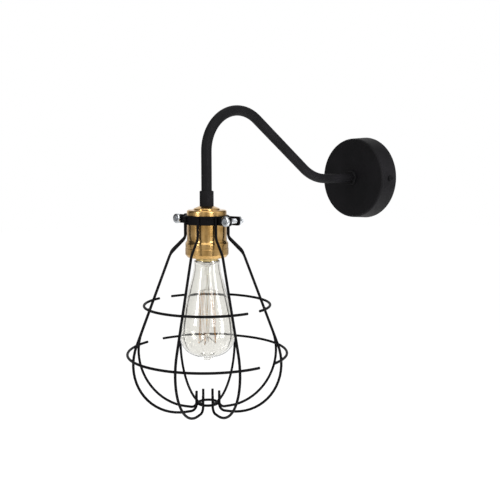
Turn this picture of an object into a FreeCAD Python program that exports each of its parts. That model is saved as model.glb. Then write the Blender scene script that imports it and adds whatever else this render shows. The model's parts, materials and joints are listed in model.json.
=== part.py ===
"""Cage wall light: a bent arm on a round wall canopy holds a brass lampholder, with a wire cage clamped
round it.  Millimetres.  The origin is on the wall, at the centre of the canopy: +Z is up, +Y runs into the
wall and the lamp hangs on a vertical axis in front of it, towards -Y.

Heights on the lamp are measured from the middle of the cage's clamp band, positive upwards.
Pieces on the canopy are drawn on a local Z axis that points out of the wall.
"""
import FreeCAD, Part
import math
import os
import Sketcher

# ---------------------------------------------------------------------------------------------------------
# Driving dimensions: name, value, meaning
# ---------------------------------------------------------------------------------------------------------
SIZES = [
    ("lamp_reach", 272.0, "wall to the lamp's vertical axis"),
    ("lamp_drop", 43.6, "canopy centre down to the middle of the clamp band"),
    # canopy
    ("canopy_depth", 26.0, "wall to the canopy's front face"),
    ("canopy_front_radius", 52.2, "outer radius at the front face"),
    ("canopy_back_radius", 54.0, "outer radius at the wall"),
    ("canopy_wall", 1.2, "sheet thickness"),
    ("canopy_edge_round", 3.0, "outer radius of the front edge"),
    ("side_screw_height", 11.0, "wall to the side screws"),
    ("side_screw_radius", 2.0, "M4 side screws"),
    ("side_head_radius", 4.0, "pan head"),
    ("side_head_height", 2.4, "pan head"),
    ("side_head_round", 1.4, "pan head"),
    ("side_screw_grip", 2.5, "side screws' ends past the bracket's tabs"),
    # wall bracket
    ("bracket_sheet", 1.5, "sheet thickness"),
    ("strap_width", 20.0, "width of the strap and of its tongue"),
    ("tab_width", 12.0, "width of the folded tabs"),
    ("tab_height", 16.0, "wall to the tabs' free ends"),
    ("tab_clearance", 0.5, "between the tabs and the canopy's wall"),
    ("slot_spacing", 60.0, "between the wall screws"),
    ("slot_length", 14.0, "end to end"),
    ("slot_half_width", 2.4, "for wall screws of 4.5"),
    ("cable_hole_radius", 8.0, "supply cable"),
    # arm
    ("tube_radius", 6.0, "outer radius of the arm tube"),
    ("tube_bore", 4.8, "inner radius of the arm tube"),
    ("arm_slope", 36.4, "degrees below the horizontal on the straight run"),
    ("arm_rise", 71.6, "height of the slope over the canopy's centre, where the top bend ends"),
    ("arm_run", 75.7, "lamp axis to that same point"),
    ("top_bend", 47.5, "centreline radius"),
    ("low_bend", 66.0, "centreline radius"),
    ("fit_gap", 0.05, "between pieces that are screwed or pushed together"),
    ("seat_gap", 0.02, "between faces that bear on each other"),
    # threaded tubes that join arm, canopy and lampholder
    ("nipple_radius", 4.75, "M10 fine"),
    ("nipple_bore", 3.6, "way for the cores"),
    ("nipple_grip", 12.0, "depth inside the arm tube"),
    ("nipple_tail", 9.0, "length inside the canopy"),
    ("lamp_nipple_tail", 6.4, "length inside the lampholder's cap"),
    ("nut_flats", 14.0, "across flats"),
    ("nut_height", 3.0, "lock nuts"),
    ("washer_radius", 9.0, "inside the canopy"),
    ("washer_height", 1.0, "inside the canopy"),
    ("wall_collar_radius", 9.5, "ring round the arm at the canopy"),
    ("wall_collar_length", 4.0, "ring round the arm at the canopy"),
    ("collar_edge", 0.8, "broken edges of both collars"),
    # collar over the lampholder
    ("lamp_collar_radius", 8.0, "outer radius"),
    ("lamp_collar_top", 32.7, "height of its upper end"),
    ("tube_grip", 12.0, "depth of the arm tube in the collar"),
    # lampholder
    ("holder_radius", 22.7, "outer radius under the clamp"),
    ("holder_sheet", 1.2, "brass thickness"),
    ("cap_top", 15.4, "height of the cap's flat top"),
    ("cap_neck_radius", 8.4, "flat top"),
    ("dome_radius", 15.0, "foot of the dome"),
    ("dome_foot", 12.4, "height"),
    ("dome_lip", 0.7, "bead round the dome's foot"),
    ("cap_neck_round", 3.0, "edge of the flat top"),
    ("dome_round", 1.6, "hollow over the bead"),
    ("cap_shoulder", 11.2, "height of the wide shoulder"),
    ("cap_shoulder_round", 2.2, "edge of the shoulder"),
    ("cap_joint", 3.9, "clamp middle down to the joint of cap and skirt"),
    ("skirt_neck_top", 7.0, "top of the skirt's threaded neck"),
    ("skirt_foot", 23.7, "clamp middle down to the start of the flare"),
    ("flare_radius", 24.5, "outer radius of the flare"),
    ("flare_end", 26.6, "clamp middle down to its full width"),
    ("skirt_round", 3.0, "hollow over the flare"),
    ("flare_round", 1.6, "edge of the flare"),
    ("ring_top", 32.0, "clamp middle down to the mouth ring"),
    ("ring_radius", 24.8, "outer radius of the mouth ring"),
    ("ring_straight", 39.4, "clamp middle down to where the ring rounds in"),
    ("ring_bottom", 42.8, "clamp middle down to its lower face"),
    ("ring_mouth", 17.0, "inner radius of its lip"),
    ("ring_thread", 21.2, "radius of the skirt's lower thread"),
    ("ring_lip", 1.4, "thickness of the lip"),
    ("ring_edge_round", 0.5, "upper edge"),
    ("ring_round", 2.0, "where the ring rounds in"),
    ("ring_bevel", 2.6, "how far it rounds in"),
    ("ring_face_round", 1.0, "edge of its lower face"),
    ("insert_gap", 0.2, "between the porcelain and the brass"),
    ("insert_floor", 14.6, "clamp middle down to the socket's floor"),
    ("insert_top", 3.6, "height of the porcelain's upper face"),
    ("insert_bottom", 38.0, "clamp middle down to the porcelain's rim"),
    ("insert_round", 1.0, "upper edge of the porcelain"),
    ("shell_mouth", 39.0, "clamp middle down to the screw shell's mouth"),
    ("shell_floor_hole", 5.0, "radius of the hole in the shell's floor"),
    ("contact_gap", 0.2, "sprung contact to the bulb's tip"),
    ("contact_sheet", 0.4, "thickness of the contact"),
    ("contact_width", 4.0, "width of the contact"),
    ("contact_reach", 3.6, "lamp axis to the end of its foot"),
    ("contact_nose", 1.8, "half of the part that bears on the bulb"),
    ("contact_round", 0.6, "bends of the contact"),
    ("terminal_reach", 11.5, "lamp axis to the terminals"),
    ("terminal_depth", 5.0, "wire ways in the porcelain's head"),
    ("terminal_screw_radius", 2.2, "heads of the terminal screws"),
    ("terminal_screw_height", 1.4, "heads of the terminal screws"),
    # bulb
    ("bulb_rim", 46.4, "clamp middle down to the cap's rim"),
    ("bulb_cap_radius", 12.9, "crest of the rolled thread"),
    ("bulb_cap_root", 12.1, "root of the rolled thread"),
    ("bulb_thread_pitch", 3.6, "thread spacing"),
    ("bulb_cap_length", 22.4, "rim to the top of the metal"),
    ("bulb_tip_length", 27.0, "rim to the tip contact"),
    ("bulb_cap_sheet", 0.5, "thickness of the cap"),
    ("bulb_rim_band", 2.2, "plain band at the rim"),
    ("bulb_cap_bevel", 2.4, "how far the cap's top draws in"),
    ("bead_seat", 1.4, "depth of the bead inside the cap"),
    ("bead_radius", 6.0, "outer end of the bead"),
    ("bulb_tip_radius", 4.6, "tip contact"),
    ("bulb_tip_height", 1.0, "tip contact"),
    ("bulb_neck_radius", 14.85, "glass neck"),
    ("bulb_neck_end", 57.0, "clamp middle down to where the glass widens"),
    ("bulb_radius", 32.0, "widest"),
    ("bulb_shoulder", 118.0, "clamp middle down to the corner of the shoulder"),
    ("bulb_end", 155.2, "clamp middle down to the corner of the rounded end"),
    ("bulb_dish", 2.7, "fall of the rounded end from its corner to the pip"),
    ("bulb_rim_round", 1.5, "upper edge of the neck"),
    ("bulb_neck_round", 60.0, "rounding where the glass widens"),
    ("bulb_shoulder_round", 96.0, "rounding at the shoulder"),
    ("bulb_end_round", 23.0, "rounding of the end"),
    ("pip_foot", 7.0, "radius where the sealed pip leaves the end"),
    ("pip_radius", 5.0, "radius of the pip's tip"),
    ("pip_end", 162.6, "clamp middle down to the pip's tip"),
    ("pip_round", 2.5, "hollow and tip of the pip"),
    ("glass_wall", 0.8, "glass thickness"),
    ("shell_clearance", 0.35, "bulb thread to screw shell"),
    ("shell_sheet", 0.4, "screw shell thickness"),
    ("stem_flare", 7.0, "height of the stem's flare under the rim"),
    ("stem_waist", 2.3, "radius under the flare"),
    ("stem_waist_round", 2.0, "hollow under the flare"),
    ("press_radius", 3.6, "where the stem is pressed on the lead wires"),
    ("press_height", 4.0, "height of that press"),
    ("press_end", 63.0, "clamp middle down to its lower end"),
    ("rod_radius", 1.2, "glass rod under the press"),
    ("button_radius", 2.6, "glass buttons that hold the hooks"),
    ("button_height", 3.0, "height of a button"),
    ("button_round", 1.0, "edges of the press and the buttons"),
    ("upper_button", 79.0, "clamp middle down to the upper button"),
    ("lower_button", 134.0, "clamp middle down to the lower button"),
    ("filament_top", 82.0, "clamp middle down to the upper hooks"),
    ("filament_bottom", 144.0, "clamp middle down to the lower hooks"),
    ("filament_top_radius", 9.0, "circle of the upper hooks"),
    ("filament_bottom_radius", 10.5, "circle of the lower hooks"),
    ("filament_wire", 0.25, "radius, coiled tungsten"),
    ("support_wire", 0.35, "radius"),
    # cage
    ("cage_turn", 7.0, "degrees that the clamp is set off square"),
    ("wire_radius", 1.5, "ribs and rings"),
    ("band_height", 10.0, "clamp band"),
    ("band_sheet", 2.0, "clamp band"),
    ("band_clearance", 0.06, "band to lampholder"),
    ("ear_gap", 11.5, "between the two ears of a pair"),
    ("ear_reach", 44.7, "lamp axis to the ears' ends"),
    ("ear_round", 3.0, "corners of the ears"),
    ("clamp_screw_reach", 39.0, "lamp axis to the clamp screws"),
    ("clamp_screw_radius", 3.0, "M6"),
    ("clamp_screw_length", 25.0, "under the head"),
    ("clamp_head_radius", 5.6, "pan head"),
    ("clamp_head_height", 3.8, "pan head"),
    ("clamp_socket", 4.0, "key size across flats"),
    ("clamp_nut_flats", 10.0, "across flats"),
    ("clamp_nut_height", 4.0, "height"),
    ("rib_top", 4.0, "height of the ribs' upper ends"),
    ("weld_gap", 0.03, "between wires that cross and are welded"),
    ("first_kink", 20.0, "clamp middle down to the ribs' first bend"),
    ("shoulder_radius", 44.4, "lamp axis to the ribs' second bend"),
    ("shoulder_drop", 37.0, "clamp middle down to the ribs' second bend"),
    ("rib_slope", 22.0, "degrees from the vertical on the long run"),
    ("cage_bottom", 221.8, "clamp middle down to the ribs' lowest point"),
    ("cage_round", 61.3, "radius of the cage's lower corner"),
    ("first_round", 9.0, "radius of the first bend"),
    ("shoulder_round", 16.0, "radius of the second bend"),
    ("hook_radius", 7.0, "radius where the ribs turn up"),
    ("hook_reach", 14.35, "lamp axis to the upturned ends"),
    ("hook_rise", 19.8, "ribs' lowest point up to their upturned ends"),
    ("upper_ring_drop", 98.1, "clamp middle down to the upper ring"),
    ("lower_ring_drop", 154.1, "clamp middle down to the lower ring"),
    ("base_ring_rise", 7.2, "ribs' lowest point up to the base ring"),
    ("ring_gap_angle", 8.0, "degrees left open each side of the split"),
    # wiring
    ("core_radius", 1.1, "insulated cores"),
    ("core_offset", 1.3, "cores side by side in the arm"),
    ("block_width", 27.0, "terminal block"),
    ("block_height", 12.0, "terminal block"),
    ("block_depth", 11.0, "terminal block"),
    ("block_drop", 20.0, "canopy centre down to the block's upper side"),
    ("block_well", 2.6, "radius of the screw wells"),
    ("core_bend", 3.0, "bends of the cores in the canopy"),
    ("core_rise", 7.0, "block up to the cores' first bend"),
    ("core_level", 4.5, "canopy centre down to where the cores lie side by side"),
    ("core_lift", 2.8, "cores' last run over the porcelain"),
]

RIBS = 8
SIDE_SCREWS = 2
FILAMENT_STRANDS = 12
CAP_TURNS = 4

doc = FreeCAD.newDocument("cage_wall_light")
sheet = doc.addObject("Spreadsheet::Sheet", "Sizes")
for row, (name, value, meaning) in enumerate(SIZES, start=1):
    sheet.set(f"A{row}", name)
    sheet.set(f"B{row}", str(value))
    sheet.set(f"C{row}", meaning)
    sheet.setAlias(f"B{row}", name)
doc.recompute()


class Size:
    """A number together with the expression that gives it, so that a drawing follows the sheet."""

    def __init__(self, text, number):
        self.text = text
        self.number = number

    def join(self, sign, other, number):
        return Size(f"({self.text} {sign} {as_size(other).text})", number)

    def __add__(self, other):
        return self.join("+", other, self.number + as_size(other).number)

    def __sub__(self, other):
        return self.join("-", other, self.number - as_size(other).number)

    def __mul__(self, other):
        return self.join("*", other, self.number * as_size(other).number)

    def __truediv__(self, other):
        return self.join("/", other, self.number / as_size(other).number)

    def __radd__(self, other):
        return as_size(other) + self

    def __rsub__(self, other):
        return as_size(other) - self

    def __rmul__(self, other):
        return as_size(other) * self

    def __neg__(self):
        return Size(f"(0 - {self.text})", -self.number)


def as_size(value):
    if isinstance(value, Size):
        return value
    return Size(repr(float(value)), float(value))


def tangent(angle):
    """Tangent of a size that holds degrees."""
    return Size(f"tan({angle.text} * 1 deg)", math.tan(math.radians(angle.number)))


def cosine(angle):
    """Cosine of a size that holds degrees."""
    return Size(f"cos({angle.text} * 1 deg)", math.cos(math.radians(angle.number)))


def root(value):
    """Square root of a size."""
    return Size(f"sqrt({value.text})", math.sqrt(value.number))


def lesser(a, b):
    """The smaller of two sizes."""
    return Size(f"min({a.text}; {b.text})", min(a.number, b.number))


def unsigned(value):
    """A size without its sign."""
    return Size(f"abs({value.text})", abs(value.number))


class Sheet:
    """Attribute access to the driving dimensions, each as a Size."""

    def __init__(self, rows):
        for name, value, _ in rows:
            setattr(self, name, Size(f"Sizes.{name}", value))


s = Sheet(SIZES)


# ---------------------------------------------------------------------------------------------------------
# Where a piece stands
# ---------------------------------------------------------------------------------------------------------
def bind(item, prop, size):
    item.setExpression(prop, as_size(size).text)


def on_lamp(item, turn=None):
    """Put a piece on the lamp's axis, with its zero height at the middle of the clamp band."""
    bind(item, "Placement.Base.y", -s.lamp_reach)
    bind(item, "Placement.Base.z", -s.lamp_drop)
    if turn is not None:
        item.Placement.Rotation = FreeCAD.Rotation(FreeCAD.Vector(0, 0, 1), turn.number)
        item.setExpression("Placement.Rotation.Angle", f"{turn.text} * 1 deg")
    return item


def on_wall(item):
    """Stand a piece on the wall: its local Z axis points out of the wall and its local Y axis up."""
    item.Placement = FreeCAD.Placement(FreeCAD.Vector(), FreeCAD.Rotation(FreeCAD.Vector(1, 0, 0), 90))
    return item


# ---------------------------------------------------------------------------------------------------------
# Drawing
# ---------------------------------------------------------------------------------------------------------
def new_body(label, compound=False):
    body = doc.addObject("PartDesign::Body", label)
    body.Label = label
    body.AllowCompound = compound
    return body


def new_sketch(body, plane, offset=None):
    """A sketch on one of the body's own origin planes, moved along the plane's normal by an offset."""
    sketch = body.newObject("Sketcher::SketchObject", f"{body.Label}_sketch")
    support = [face for face in body.Origin.OriginFeatures if face.Role == plane][0]
    sketch.AttachmentSupport = [(support, "")]
    sketch.MapMode = "FlatFace"
    if offset is not None:
        bind(sketch, "AttachmentOffset.Base.z", offset)
    return sketch


def hold(sketch, kind, geometry, position, value):
    """Hold a point's distance from the sketch's origin along one direction."""
    value = as_size(value)
    index = sketch.addConstraint(Sketcher.Constraint(kind, -1, 1, geometry, position, value.number))
    sketch.setExpression(f"Constraints[{index}]", value.text)


def hold_point(sketch, geometry, position, x, y):
    hold(sketch, "DistanceX", geometry, position, x)
    hold(sketch, "DistanceY", geometry, position, y)


def hold_radius(sketch, geometry, value):
    value = as_size(value)
    index = sketch.addConstraint(Sketcher.Constraint("Radius", geometry, value.number))
    sketch.setExpression(f"Constraints[{index}]", value.text)


def vector(x, y):
    return FreeCAD.Vector(as_size(x).number, as_size(y).number, 0)


def draw(sketch, corners, closed=True):
    """Draw a run of straight lines through corners (x, y) or (x, y, radius).

    A corner with a radius is rounded: its sharp point is kept as a construction point that both lines
    pass through.
    """
    points = [vector(corner[0], corner[1]) for corner in corners]
    radii = [as_size(corner[2]) if len(corner) > 2 else None for corner in corners]
    count = len(corners)
    spans = count if closed else count - 1
    starts = list(points)
    ends = list(points)
    centres = [None] * count
    for i in range(count):
        if radii[i] is None:
            continue
        arrive = (points[i - 1] - points[i]).normalize()
        leave = (points[(i + 1) % count] - points[i]).normalize()
        half = arrive.getAngle(leave) / 2
        cut = radii[i].number / math.tan(half)
        ends[i] = points[i] + arrive * cut
        starts[i] = points[i] + leave * cut
        centres[i] = points[i] + (arrive + leave).normalize() * (radii[i].number / math.sin(half))
    lines = []
    for i in range(spans):
        follower = (i + 1) % count
        lines.append(sketch.addGeometry(Part.LineSegment(starts[i], ends[follower]), False))
    for i in range(count):
        before = lines[i - 1] if (closed or i > 0) else None
        after = lines[i] if i < spans else None
        if radii[i] is None:
            if before is not None and after is not None:
                sketch.addConstraint(Sketcher.Constraint("Coincident", before, 2, after, 1))
            if after is not None:
                hold_point(sketch, after, 1, corners[i][0], corners[i][1])
            else:
                hold_point(sketch, before, 2, corners[i][0], corners[i][1])
            continue
        first = ends[i] - centres[i]
        last = starts[i] - centres[i]
        turns_left = (first.x * last.y - first.y * last.x) > 0
        a, b = (first, last) if turns_left else (last, first)
        circle = Part.Circle(centres[i], FreeCAD.Vector(0, 0, 1), radii[i].number)
        arc = sketch.addGeometry(Part.ArcOfCircle(circle, math.atan2(a.y, a.x), math.atan2(b.y, b.x)), False)
        near, far = (1, 2) if turns_left else (2, 1)
        sketch.addConstraint(Sketcher.Constraint("Tangent", before, 2, arc, near))
        sketch.addConstraint(Sketcher.Constraint("Tangent", arc, far, after, 1))
        hold_radius(sketch, arc, radii[i])
        corner = sketch.addGeometry(Part.Point(points[i]), True)
        hold_point(sketch, corner, 1, corners[i][0], corners[i][1])
        sketch.addConstraint(Sketcher.Constraint("PointOnObject", corner, 1, before))
        sketch.addConstraint(Sketcher.Constraint("PointOnObject", corner, 1, after))
    return lines


def draw_circle(sketch, x, y, radius):
    circle = Part.Circle(vector(x, y), FreeCAD.Vector(0, 0, 1), as_size(radius).number)
    index = sketch.addGeometry(circle, False)
    hold_point(sketch, index, 3, x, y)
    hold_radius(sketch, index, radius)


def draw_hexagon(sketch, x, y, flats):
    """A hexagon with two corners on the sketch's horizontal through its centre."""
    half = flats / 2
    corner = half / cosine(Size("30", 30.0))
    rows = [(corner, 0), (corner / 2, half), (-corner / 2, half), (-corner, 0), (-corner / 2, -half),
            (corner / 2, -half)]
    draw(sketch, [(x + as_size(dx), y + as_size(dy)) for dx, dy in rows])


def revolve(body, corners):
    """Turn a profile of (radius, height) corners about the body's Z axis."""
    sketch = new_sketch(body, "XZ_Plane")
    draw(sketch, corners)
    feature = body.newObject("PartDesign::Revolution", f"{body.Label}_turned")
    feature.Profile = sketch
    feature.ReferenceAxis = (sketch, ["V_Axis"])
    feature.Angle = 360
    return feature


def pad(body, sketch, height, middle=False):
    feature = body.newObject("PartDesign::Pad", f"{body.Label}_pad")
    feature.Profile = sketch
    bind(feature, "Length", height)
    if middle:
        feature.SideType = "Symmetric"
    return feature


def pocket(body, sketch, depth, reverse=False, middle=False):
    feature = body.newObject("PartDesign::Pocket", f"{body.Label}_cut")
    feature.Profile = sketch
    bind(feature, "Length", depth)
    feature.Reversed = reverse
    if middle:
        feature.SideType = "Symmetric"
    return feature


def pipe(body, plane, corners, radius, bore=None):
    """Sweep a round wire, or a tube, along a run of lines whose corners are rounded.

    The run starts vertically, so the section is drawn on the level plane at its first point.
    """
    path = new_sketch(body, plane)
    draw(path, corners, closed=False)
    section = new_sketch(body, "XY_Plane", corners[0][1])
    across, along = (corners[0][0], as_size(0)) if plane == "XZ_Plane" else (as_size(0), corners[0][0])
    draw_circle(section, across, along, radius)
    if bore is not None:
        draw_circle(section, across, along, bore)
    feature = body.newObject("PartDesign::AdditivePipe", f"{body.Label}_swept")
    feature.Profile = section
    feature.Spine = (path, [])
    return feature


def turn_pattern(body, features, count, axis_sketch):
    """Repeat features round the body's Z axis."""
    pattern = body.newObject("PartDesign::PolarPattern", f"{body.Label}_round")
    pattern.Originals = features
    pattern.Axis = (axis_sketch, ["N_Axis"])
    pattern.Angle = 360
    pattern.Occurrences = count
    body.Tip = pattern
    return pattern


# ---------------------------------------------------------------------------------------------------------
# Values that several pieces share
# ---------------------------------------------------------------------------------------------------------
canopy_bore = s.nipple_radius + s.fit_gap * 4
canopy_taper = (s.canopy_back_radius - s.canopy_front_radius) / s.canopy_depth
canopy_at_screws = s.canopy_back_radius - canopy_taper * s.side_screw_height
tab_outside = lesser(s.canopy_front_radius, s.canopy_back_radius) - s.canopy_wall - s.tab_clearance
inside_face = s.canopy_depth - s.canopy_wall
tongue_end = s.block_drop + s.block_height
tube_start = s.lamp_collar_top - s.tube_grip
cap_floor = s.cap_top - s.holder_sheet * 1.25
skirt_end = s.ring_lip + s.insert_gap - s.ring_bottom
holder_inside = s.holder_radius - s.holder_sheet
porcelain_radius = s.ring_thread - s.holder_sheet - s.insert_gap
shell_inside = s.bulb_cap_radius + s.shell_clearance
shell_outside = shell_inside + s.shell_sheet
tip_height = s.bulb_tip_length - s.bulb_rim
thread_top = s.bulb_cap_length - s.bulb_rim
bead_top = tip_height - s.bulb_tip_height
bead_hole = s.bulb_cap_root - s.bulb_cap_bevel - s.bulb_cap_sheet
band_inside = s.holder_radius + s.band_clearance
band_outside = band_inside + s.band_sheet
rib_reach = band_outside + s.wire_radius + s.weld_gap
ear_inner = s.ear_gap / 2
ear_outer = ear_inner + s.band_sheet
cross_over = 2 * s.wire_radius + s.weld_gap
rib_run = tangent(s.rib_slope)
lower_corner_reach = s.shoulder_radius + (s.cage_bottom - s.shoulder_drop) * rib_run
upper_ring_reach = (s.shoulder_radius + (s.upper_ring_drop - s.shoulder_drop) * rib_run
                    + cross_over / cosine(s.rib_slope))
corner_centre_drop = s.cage_bottom - s.cage_round
corner_centre_reach = (s.shoulder_radius + (corner_centre_drop - s.shoulder_drop) * rib_run
                       - s.cage_round / cosine(s.rib_slope))
ring_rise = corner_centre_drop - s.lower_ring_drop
outer_round = s.cage_round + cross_over
lower_ring_reach = corner_centre_reach + root(outer_round * outer_round - ring_rise * ring_rise)
base_ring_reach = s.hook_reach - cross_over


# ---------------------------------------------------------------------------------------------------------
# Wall side
# ---------------------------------------------------------------------------------------------------------
def wall_bracket():
    """A flat strap with slots for the wall screws, two folded tabs and a tongue for the terminal block."""
    body = on_wall(new_body("wall_bracket"))
    half = s.strap_width / 2
    plate = new_sketch(body, "XY_Plane")
    draw(plate, [
        (tab_outside, half), (tab_outside, -half), (half, -half), (half, -tongue_end), (-half, -tongue_end),
        (-half, -half), (-tab_outside, -half), (-tab_outside, half),
    ])
    pad(body, plate, s.bracket_sheet)
    folded = new_sketch(body, "XY_Plane")
    half_tab = s.tab_width / 2
    tab_inside = tab_outside - s.bracket_sheet
    draw(folded, [(tab_inside, -half_tab), (tab_outside, -half_tab), (tab_outside, half_tab),
                  (tab_inside, half_tab)])
    tab = pad(body, folded, s.tab_height)
    turn_pattern(body, [tab], SIDE_SCREWS, folded)
    holes = new_sketch(body, "XY_Plane")
    draw_circle(holes, 0, 0, s.cable_hole_radius)
    for side in (-1, 1):
        centre = s.slot_spacing / 2 * side
        draw_slot(holes, centre, s.slot_length, s.slot_half_width)
    cut = pocket(body, holes, s.bracket_sheet, reverse=True)
    body.Tip = cut
    doc.recompute()
    across = new_sketch(body, "YZ_Plane")
    draw_circle(across, 0, s.side_screw_height, s.side_screw_radius + s.fit_gap)
    body.Tip = pocket(body, across, 3 * tab_outside, middle=True)
    return body


def draw_slot(sketch, centre, length, half_width):
    """A slot along the sketch's horizontal, with round ends."""
    straight = length / 2 - half_width
    radius = half_width.number
    ends = []
    for side, start in ((1, -math.pi / 2), (-1, math.pi / 2)):
        middle = vector(centre + straight * side, 0)
        circle = Part.Circle(middle, FreeCAD.Vector(0, 0, 1), radius)
        arc = sketch.addGeometry(Part.ArcOfCircle(circle, start, start + math.pi), False)
        hold_point(sketch, arc, 3, centre + straight * side, 0)
        ends.append(arc)
    right, left = ends
    tops = (vector(centre + straight, half_width), vector(centre - straight, half_width))
    lows = (vector(centre - straight, -half_width), vector(centre + straight, -half_width))
    top = sketch.addGeometry(Part.LineSegment(*tops), False)
    low = sketch.addGeometry(Part.LineSegment(*lows), False)
    sketch.addConstraint(Sketcher.Constraint("Tangent", right, 2, top, 1))
    sketch.addConstraint(Sketcher.Constraint("Tangent", top, 2, left, 1))
    sketch.addConstraint(Sketcher.Constraint("Tangent", left, 2, low, 1))
    sketch.addConstraint(Sketcher.Constraint("Tangent", low, 2, right, 1))
    hold_radius(sketch, right, half_width)


def canopy_cup():
    """A drawn steel cup with a rounded front edge, a bore for the arm and a hole in each side."""
    body = on_wall(new_body("canopy_cup"))
    wall = s.canopy_wall
    inner_round = s.canopy_edge_round - wall
    revolve(body, [
        (canopy_bore, inside_face),
        (s.canopy_front_radius - wall, inside_face, inner_round),
        (s.canopy_back_radius - wall, 0),
        (s.canopy_back_radius, 0),
        (s.canopy_front_radius, s.canopy_depth, s.canopy_edge_round),
        (canopy_bore, s.canopy_depth),
    ])
    doc.recompute()
    across = new_sketch(body, "YZ_Plane")
    draw_circle(across, 0, s.side_screw_height, s.side_screw_radius + s.fit_gap * 4)
    pocket(body, across, 3 * s.canopy_back_radius, middle=True)
    return body


def side_screws():
    """Pan-headed screws through the canopy's side into the bracket's tabs."""
    body = on_wall(new_body("canopy_screws", compound=True))
    under_head = canopy_at_screws + s.seat_gap + unsigned(canopy_taper) * s.side_head_radius
    tip = tab_outside - s.bracket_sheet - s.side_screw_grip
    head_end = under_head + s.side_head_height
    profile = new_sketch(body, "XZ_Plane")
    axis_height = s.side_screw_height
    top = axis_height + s.side_head_radius
    draw(profile, [
        (tip, axis_height), (head_end, axis_height), (head_end, top, s.side_head_round),
        (under_head, top), (under_head, axis_height + s.side_screw_radius),
        (tip, axis_height + s.side_screw_radius),
    ])
    centre = profile.addGeometry(Part.LineSegment(vector(tip, axis_height), vector(head_end, axis_height)), True)
    hold_point(profile, centre, 1, tip, axis_height)
    hold_point(profile, centre, 2, head_end, axis_height)
    screw = body.newObject("PartDesign::Revolution", "canopy_screws_turned")
    screw.Profile = profile
    screw.ReferenceAxis = (profile, ["Axis0"])
    screw.Angle = 360
    around = new_sketch(body, "XY_Plane")
    turn_pattern(body, [screw], SIDE_SCREWS, around)
    return body


def ring(label, inner, outer, low, high, edge=None, place=on_lamp):
    """A turned ring or sleeve, its upper outer edge broken where an edge size is given."""
    body = place(new_body(label))
    corners = [(inner, low), (outer, low), (outer, high), (inner, high)]
    if edge is not None:
        corners[2:3] = [(outer, high - edge), (outer - edge, high)]
    revolve(body, corners)
    return body


def lock_nut(label, low, bore, flats, height, place):
    """A thin hexagon nut."""
    body = place(new_body(label))
    outline = new_sketch(body, "XY_Plane", low)
    draw_hexagon(outline, as_size(0), as_size(0), flats)
    draw_circle(outline, 0, 0, bore)
    pad(body, outline, height)
    return body


def terminal_block():
    """A three-way block on the bracket's tongue, with a screw well and a wire way for each core."""
    body = on_wall(new_body("terminal_block"))
    base = s.bracket_sheet + s.seat_gap
    outline = new_sketch(body, "XY_Plane", base)
    half = s.block_width / 2
    low = -s.block_drop - s.block_height
    draw(outline, [(-half, low), (half, low), (half, -s.block_drop), (-half, -s.block_drop)])
    pad(body, outline, s.block_depth)
    wells = new_sketch(body, "XY_Plane", base + s.block_depth)
    ways = new_sketch(body, "XZ_Plane", s.block_drop)
    for place in (-1, 0, 1):
        x = s.block_width / 3 * place
        draw_circle(wells, x, -s.block_drop - s.block_height / 2, s.block_well)
        draw_circle(ways, x, base + s.block_depth / 2, s.core_radius + s.fit_gap * 4)
    pocket(body, wells, s.block_depth / 3)
    pocket(body, ways, s.block_height / 3, reverse=True)
    return body


# ---------------------------------------------------------------------------------------------------------
# Arm
# ---------------------------------------------------------------------------------------------------------
slope_fall = tangent(s.arm_slope)
first_corner = s.arm_rise + s.arm_run * slope_fall
second_corner = s.arm_run + s.arm_rise / slope_fall


def arm_tube():
    """One tube: up from the lamp, over, down the slope and level into the canopy."""
    body = new_body("arm_tube")
    pipe(body, "YZ_Plane", [
        (-s.lamp_reach, tube_start - s.lamp_drop),
        (-s.lamp_reach, first_corner, s.top_bend),
        (second_corner - s.lamp_reach, 0, s.low_bend),
        (-s.canopy_depth - s.seat_gap, 0),
    ], s.tube_radius, s.tube_bore)
    return body


def lamp_collar():
    """The black sleeve between the arm and the lampholder."""
    body = on_lamp(new_body("lamp_collar"))
    revolve(body, [
        (s.nipple_radius + s.fit_gap, s.cap_top + s.seat_gap),
        (s.lamp_collar_radius, s.cap_top + s.seat_gap),
        (s.lamp_collar_radius, s.lamp_collar_top - s.collar_edge),
        (s.lamp_collar_radius - s.collar_edge, s.lamp_collar_top),
        (s.tube_radius + s.fit_gap, s.lamp_collar_top),
        (s.tube_radius + s.fit_gap, tube_start - s.seat_gap),
        (s.nipple_radius + s.fit_gap, tube_start - s.seat_gap),
    ])
    return body


# ---------------------------------------------------------------------------------------------------------
# Lampholder
# ---------------------------------------------------------------------------------------------------------
def holder_cap():
    """The spun brass cap: a flat neck, a small dome, a wide shoulder and a straight skirt."""
    body = on_lamp(new_body("holder_cap"))
    sheet_thick = s.holder_sheet
    inner = holder_inside + s.fit_gap * 2
    bore = s.nipple_radius + s.fit_gap * 4
    revolve(body, [
        (bore, s.cap_top),
        (s.cap_neck_radius, s.cap_top, s.cap_neck_round),
        (s.dome_radius - s.dome_lip, s.dome_foot + s.dome_lip, s.dome_round),
        (s.dome_radius, s.dome_foot),
        (s.dome_radius, s.cap_shoulder),
        (s.holder_radius, s.cap_shoulder, s.cap_shoulder_round),
        (s.holder_radius, -s.cap_joint),
        (inner, -s.cap_joint),
        (inner, s.cap_shoulder - sheet_thick, s.cap_shoulder_round - sheet_thick),
        (s.dome_radius - sheet_thick, s.cap_shoulder - sheet_thick),
        (s.dome_radius - sheet_thick, s.dome_foot - s.dome_lip),
        (s.cap_neck_radius - s.dome_lip / 2, cap_floor),
        (bore, cap_floor),
    ])
    return body


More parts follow.
